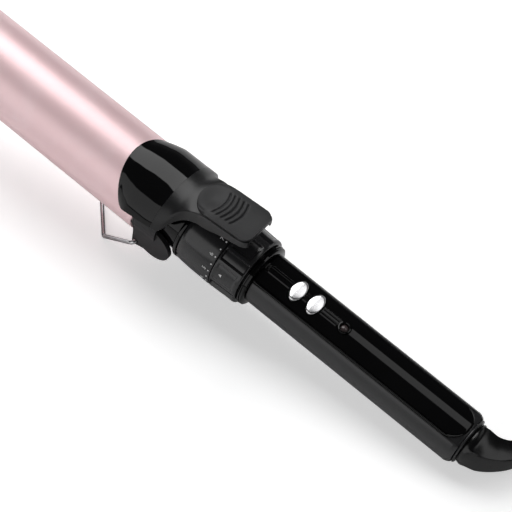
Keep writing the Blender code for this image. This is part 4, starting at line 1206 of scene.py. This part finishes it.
def panel_ring(station, drop):
    """One section: the crowned top inside the rim, the bevelled rim and the underside."""
    half = max(NARROWEST, panel_half(station))
    bead = min(RIM_WIDTH, half) / 2
    flat = max(0.6 * NARROWEST, half - 2 * RIM_GROOVE * bead)
    top = [flat * k for k in spread(-1.0, 1.0, PANEL_COLUMNS)]
    ring = [wand(station, y, panel_height(y) - drop) for y in top]
    low = panel_height(half) - RIM_SINK - drop
    rim = []
    for turn in spread(RIM_TURN, 0.0, RIM_POINTS):
        rim.append((half - bead + bead * math.cos(turn), low + bead * math.sin(turn)))
    ring += [wand(station, y, z) for y, z in rim]
    ring.append(wand(station, half, panel_height(half) - PANEL_UNDER))
    ring.append(wand(station, -half, panel_height(half) - PANEL_UNDER))
    ring += [wand(station, -y, z) for y, z in reversed(rim)]
    return ring


panel_stations = [PANEL_REAR + PANEL_ROUND * (1 - math.cos(math.radians(a))) for a in spread(3.0, 90.0, 24)]
panel_rings = []
for station in panel_stations:
    lowered = 1 - ease((station - PANEL_REAR) / PANEL_REAR_FADE)
    panel_rings.append(panel_ring(station, PANEL_REAR_DROP * lowered))
panel_rings += [panel_ring(s, 0.0) for s in spread(0.014, SHELL_END, 24)]
panel = loft("gloss_panel", panel_rings, sharp_degrees=25.0)


def oval_ring(station, half_along, half_across, z, count=64):
    turns = [2 * math.pi * i / count for i in range(count)]
    return [wand(station - half_along * math.sin(t), half_across * math.cos(t), z) for t in turns]


def cut(piece, *cutters):
    """Cuts the cutters out of the piece and keeps the result as its plain mesh."""
    for cutter in cutters:
        change = piece.modifiers.new("cut", "BOOLEAN")
        change.object = cutter
        change.solver = "EXACT"
    bpy.context.view_layer.update()
    graph = bpy.context.evaluated_depsgraph_get()
    mesh = bpy.data.meshes.new_from_object(piece.evaluated_get(graph))
    piece.modifiers.clear()
    piece.data = mesh
    for cutter in cutters:
        bpy.data.objects.remove(cutter)
    mesh.shade_smooth()
    mesh.set_sharp_from_angle(angle=math.radians(25.0))


CUTTER_SPAN = (0.004, 0.016)
panel_cutters = []
for button, station in BUTTONS.items():
    along, across = BUTTON_HALF[0] + BUTTON_PLAY, BUTTON_HALF[1] + BUTTON_PLAY
    rings = [oval_ring(station, along, across, z) for z in CUTTER_SPAN]
    panel_cutters.append(loft(button + "_cutter", rings))
lens_rings = [oval_ring(LED_STATION, LENS_HOLE, LENS_HOLE, z) for z in CUTTER_SPAN]
panel_cutters.append(loft("lens_cutter", lens_rings))
cut(panel, *panel_cutters)
dress(panel, gloss, "handle", "gloss_black", "handle_top_panel")

# The rear corners beside the panel's rounded end are part of the shell's moulding.
DECK_DROP = 0.0009
DECK_HALF = 0.0089
DECK_LOW = 0.0060
DECK_CORNER = [(0.0, 0.0010), (0.0025, 0.0)]
DECK_REAR_DROP = 0.0006
DECK_REAR_FADE = 0.002
DECK_COLUMNS = 25


def deck_ring(station):
    """A thin deck under the panel's rounded end, flush with the shell's edges."""
    half = DECK_HALF - between(DECK_CORNER, station)
    across = spread(-half, half, DECK_COLUMNS)
    low = DECK_REAR_DROP * (1 - ease(station / DECK_REAR_FADE))
    top = [wand(station, y, panel_height(y) - DECK_DROP - low) for y in across]
    return top + [wand(station, half, DECK_LOW), wand(station, -half, DECK_LOW)]


deck = loft("rear_deck", [deck_ring(s) for s in (0.0002, 0.0010, 0.0020, 0.0040, 0.0080, 0.0110)])
dress(deck, shell_black, "handle", "satin_black")

# ---------------------------------------------------------------- track down the panel
# A narrow moulded inlay down the panel's middle, with two raised rails round a slot. The buttons and
# the lamp interrupt it, and it is pressed into the panel from above.

TRACK_HALF = 0.0023
TRACK_LIFT = 0.00010
RAIL_HEIGHT = 0.00055
RAIL_ENDS = (0.00045, 0.00165)
RAIL_SLOPES = (0.00045, 0.0006)
SLOT_HALF = 0.0004
SLOT_DEPTH = 0.00025
TRACK_LOW = 0.0098
TRACK_STEP = 0.00015
TRACK_COLUMNS = 41
TRACK_RUNS = [
    ("front", 0.0972, 0.1108, True),
    ("middle", 0.0877, 0.0898, False),
    ("rear", 0.0716, 0.0802, False),
]


def track_height(station, y, front):
    """Rails round the slot; the front end closes in a half circle."""
    centre = front - TRACK_HALF
    away = math.hypot(y, max(0.0, station - centre))
    rail = window(away, RAIL_ENDS, RAIL_SLOPES)
    return panel_height(y) + TRACK_LIFT + RAIL_HEIGHT * rail - SLOT_DEPTH * (away < SLOT_HALF)


for track_name, start, end, rounded in TRACK_RUNS:
    front = end if rounded else 1.0
    rings = []
    count = round((end - start) / TRACK_STEP)
    for station in spread(start, end - (NARROWEST if rounded else 0.0), count):
        left = max(0.0, station - (front - TRACK_HALF))
        half = math.sqrt(max(0.0, TRACK_HALF**2 - left**2)) if rounded else TRACK_HALF
        half = max(half, NARROWEST)
        across = spread(-half, half, TRACK_COLUMNS)
        top = [wand(station, y, track_height(station, y, front)) for y in across]
        rings.append(top + [wand(station, across[-1], TRACK_LOW), wand(station, across[0], TRACK_LOW)])
    track = loft("track_" + track_name + "_rails", rings, sharp_degrees=60.0)
    stands_for = [] if track_name == "middle" else ["track_" + track_name]
    dress(track, gloss, "handle", "gloss_black", *stands_for)

# ---------------------------------------------------------------- buttons and the lamp
# Two oval buttons of plated ABS with a gently domed top, which slide in the panel's holes, and a small
# lamp behind a dark lens in a raised ring.

BUTTON_LEVELS = [
    (0.55, 0.0062),
    (1.0, 0.0063),
    (1.0, 0.0109),
    (0.975, 0.0113),
    (0.93, 0.0115),
    (0.80, 0.01163),
    (0.55, 0.01172),
    (0.30, 0.01178),
    (0.02, 0.0118),
]
satin_chrome = finish_material("satin_chrome", (0.80, 0.80, 0.81), 0.23, 0.30, metallic=1.0, depth=0.000003)
for button, station in BUTTONS.items():
    rings = [oval_ring(station, BUTTON_HALF[0] * k, BUTTON_HALF[1] * k, z) for k, z in BUTTON_LEVELS]
    key = loft(button + "_plated", rings, sharp_degrees=50.0)
    dress(key, satin_chrome, button.replace("button_", "") + "_button", "chrome", button)


def up_turned(name, station, profile, segments=64, looped=True):
    """A piece turned about the wand's up direction from (z, radius) points."""
    rings = [oval_ring(station, max(r, ON_AXIS), max(r, ON_AXIS), z, segments) for z, r in profile]
    return loft(name, rings, looped=looped)


bezel_profile = [
    (0.0080, 0.0019),
    (0.0108, 0.0019),
    (0.0113, 0.0021),
    (0.0115, 0.0024),
    (0.0114, 0.0028),
    (0.0110, 0.0030),
    (0.0080, 0.0030),
]
bezel = up_turned("lamp_ring", LED_STATION, bezel_profile)
dress(bezel, gloss, "handle", "chrome", "led_bezel")
lens_profile = [(0.0110, 0.0), (0.0109, 0.0008), (0.0106, 0.0014)]
lens_profile += [(0.0103, 0.0017), (0.0084, 0.0017), (0.0084, 0.0)]
lens_red = finish_material("lens_dark_red", (0.06, 0.045, 0.045), 0.06, 0.12, grain=900.0, depth=0.000001)
lens = up_turned("lamp_lens", LED_STATION, lens_profile, looped=False)
dress(lens, lens_red, "handle", "dark_lens", "led_lens")

# ---------------------------------------------------------------- end cap and swivel strain relief
# A moulded cap closes the handle. The cord's strain relief, a rubber elbow with eight flat faces at its
# wide end, turns in the cap and tapers to the lead in ribbed steps.

CAP_PROFILE = [
    (0.0080, 0.0062),
    (0.0080, 0.0085),
    (-0.0003, 0.0085),
    (-0.0003, 0.0107),
    (-0.0006, 0.0109),
    (-0.0010, 0.0107),
    (-0.0012, 0.0103),
    (-0.0012, 0.0062),
]
end_cap = turned("rear_cap", CAP_PROFILE)
dress(end_cap, shell_black, "handle", "satin_black", "end_cap")

BOOT_BEND_RADIUS = 0.0200
BOOT_BEND = math.radians(58.0)
BOOT_TAIL = 0.0220
BOOT_LONG = BOOT_BEND_RADIUS * BOOT_BEND + BOOT_TAIL
BOOT_START = -0.0016
BOOT_CORNERS = (-42.0, 42.0, 95.0, 140.0, 220.0, 265.0, 318.0, 402.0)
BOOT_RADII = [
    (0.0000, 0.0090),
    (0.0004, 0.0098),
    (0.0012, 0.0100),
    (0.0060, 0.0098),
    (0.0120, 0.0078),
    (0.0200, 0.0058),
    (BOOT_LONG, 0.0045),
]
BOOT_FACETED = 0.75
BOOT_FACET_SPAN = (0.0008, 0.0180)
BOOT_FACET_FADES = (0.0030, 0.0060)
BOOT_SIDES = 96
BOOT_RIBS = 7
BOOT_RIB_FIRST = 0.0226
BOOT_RIB_PITCH = 0.0030
BOOT_RIB_WIDTH = 0.0018
BOOT_RIB_DEPTH = 0.0006
BOOT_RIB_TAPER = 0.031
BOOT_RIB_FLOOR = 0.0212
BOOT_RIB_FADE = 0.0006
BOOT_REACH = 0.0010


def facet_reach(turn):
    """How far a face of the elbow's eight-sided section lies from its middle, as a share."""
    low = max(c for c in BOOT_CORNERS if c <= math.degrees(turn) + 1e-6)
    high = min(c for c in BOOT_CORNERS if c > math.degrees(turn) + 1e-6)
    half = math.radians(high - low) / 2
    return math.cos(half) / math.cos(turn - math.radians(low) - half)


def boot_middle(distance):
    """The elbow's middle this far along, and which way it heads there: rearward, then towards +Y."""
    arc = BOOT_BEND_RADIUS * BOOT_BEND
    turn = min(distance, arc) / BOOT_BEND_RADIUS
    past = max(0.0, distance - arc)
    back = BOOT_BEND_RADIUS * math.sin(turn) + past * math.cos(turn)
    over = BOOT_BEND_RADIUS * (1 - math.cos(turn)) + past * math.sin(turn)
    ahead = REARWARD * math.cos(turn) + Vector((0, 1, 0)) * math.sin(turn)
    return wand(BOOT_START - back, over, 0.0), ahead


def boot_ring(distance):
    """One section of the elbow at this distance along it."""
    middle, ahead = boot_middle(distance)
    side = UPWARD.cross(ahead)
    ribs = BOOT_RIB_DEPTH * ease((distance - BOOT_RIB_FLOOR) / BOOT_RIB_FADE)
    radius = flowing(BOOT_RADII, distance, BOOT_REACH) - ribs
    faceted = BOOT_FACETED * window(distance, BOOT_FACET_SPAN, BOOT_FACET_FADES)
    ring = []
    for i in range(BOOT_SIDES):
        turn = 2 * math.pi * i / BOOT_SIDES
        reach = radius * (1 - faceted * (1 - facet_reach(turn)))
        ring.append(middle + reach * (math.sin(turn) * side + math.cos(turn) * UPWARD))
    return ring


boot_rubber = finish_material(
    "boot_rubber", (0.003, 0.003, 0.0033), 0.22, 0.32, grain=1500.0, depth=0.000015, shine=0.4
)
boot = loft("swivel_boot", [boot_ring(d) for d in [0.0, 0.0004] + spread(0.0010, BOOT_LONG, 130)])
first_rib, rib_heading = boot_middle(BOOT_RIB_FIRST)
boot_rib_values = {
    "Count": BOOT_RIBS,
    "First": tuple(first_rib),
    "Step": tuple(rib_heading * BOOT_RIB_PITCH),
    "Radius": between(BOOT_RADII, BOOT_RIB_FIRST),
    "Width": BOOT_RIB_WIDTH,
    "Taper": BOOT_RIB_TAPER,
    "Material": boot_rubber,
}
grown(boot, ribs_in_a_row, boot_rib_values)
dress(boot, None, "cord_swivel", "cord_rubber", "cord_boot")

# ---------------------------------------------------------------- stand
# One piece of bright drawn steel wire, 2 mm thick, bent into a wide loop. Its ends turn in the bracket
# under the neck, and its foot lies flat on the table.

WIRE_RADIUS = 0.0010
STAND_FOOT_CORNER = (-0.02804, 0.0161)
STAND_FOOT_FRONT = (-0.04194, 0.0022)
STAND_HALF_WIDTH = 0.0174
stand_joint = next(joint for joint in frame["joints"] if joint["name"] == "stand_fold")
STAND_PIVOT = Vector(stand_joint["pos_m"])


def rounded_path(corners, radius, steps=12):
    """Corners joined by straight runs, each inner corner turned on a bend of about this radius."""
    corners = [Vector(c) for c in corners]
    path = [corners[0]]
    for before, corner, after in zip(corners, corners[1:], corners[2:]):
        back = (before - corner).normalized()
        ahead = (after - corner).normalized()
        half = back.angle(ahead) / 2
        reach = min(radius / math.tan(half), (before - corner).length / 2, (after - corner).length / 2)
        start, end = corner + back * reach, corner + ahead * reach
        for i in range(steps + 1):
            t = i / steps
            path.append((1 - t) ** 2 * start + 2 * t * (1 - t) * corner + t * t * end)
    path.append(corners[-1])
    return path


stand_near = [
    (STAND_PIVOT.x, -0.0122, STAND_PIVOT.z),
    (STAND_PIVOT.x, -STAND_HALF_WIDTH, STAND_PIVOT.z),
    (STAND_FOOT_CORNER[0], -STAND_FOOT_CORNER[1], WIRE_RADIUS),
    (STAND_FOOT_FRONT[0], -STAND_FOOT_FRONT[1], WIRE_RADIUS),
]
stand_far = [(x, -y, z) for x, y, z in reversed(stand_near)]
wire_steel = finish_material(
    "bright_wire", (0.50, 0.50, 0.51), 0.14, 0.22, metallic=1.0, grain=1200.0, depth=0.000003
)
stand = wire_piece("bent_wire_stand", rounded_path(stand_near + stand_far, 0.0024), WIRE_RADIUS, sides=6)
dress(stand, wire_steel, "stand", "spring_steel", "stand_wire")

# ---------------------------------------------------------------- CAD nodes that stay
# Brackets, fasteners, springs and the parts inside keep their CAD shape and get their real finishes.

steel = finish_material(
    "plated_steel", (0.60, 0.60, 0.62), 0.25, 0.38, metallic=1.0, grain=1400.0, depth=0.000005
)
brass = finish_material(
    "contact_brass", (0.72, 0.53, 0.24), 0.24, 0.40, metallic=1.0, grain=1400.0, depth=0.000005
)
aluminium = finish_material(
    "extruded_aluminium", (0.74, 0.75, 0.76), 0.30, 0.42, metallic=1.0, depth=0.00001
)
ceramic = finish_material("white_ceramic", (0.70, 0.67, 0.62), 0.65, 0.80, grain=1600.0, depth=0.00003)
board_green = finish_material("solder_mask", (0.02, 0.14, 0.06), 0.35, 0.50, grain=700.0, depth=0.00002)
lamp_red = finish_material("lamp_red", (0.55, 0.03, 0.02), 0.15, 0.25, grain=900.0, depth=0.000002)
insulation = finish_material("lead_insulation", (0.78, 0.77, 0.72), 0.45, 0.55, depth=0.00001)
slot_finish = {
    "matte_charcoal": matte,
    "satin_black": satin,
    "gloss_black": gloss,
    "chrome": chrome,
    "spring_steel": steel,
    "brass": brass,
    "aluminium": aluminium,
    "heater_ceramic": ceramic,
    "circuit_board": board_green,
    "led_red": lamp_red,
    "dark_lens": lens_red,
    "wire_insulation": insulation,
    "cord_rubber": rubber,
    "pink_ceramic": pink,
}
for subpart in record["subparts"]:
    kept = frame["nodes"][subpart["node"]]
    kept.data.materials.clear()
    kept.data.materials.append(slot_finish[subpart["material_slot"]])
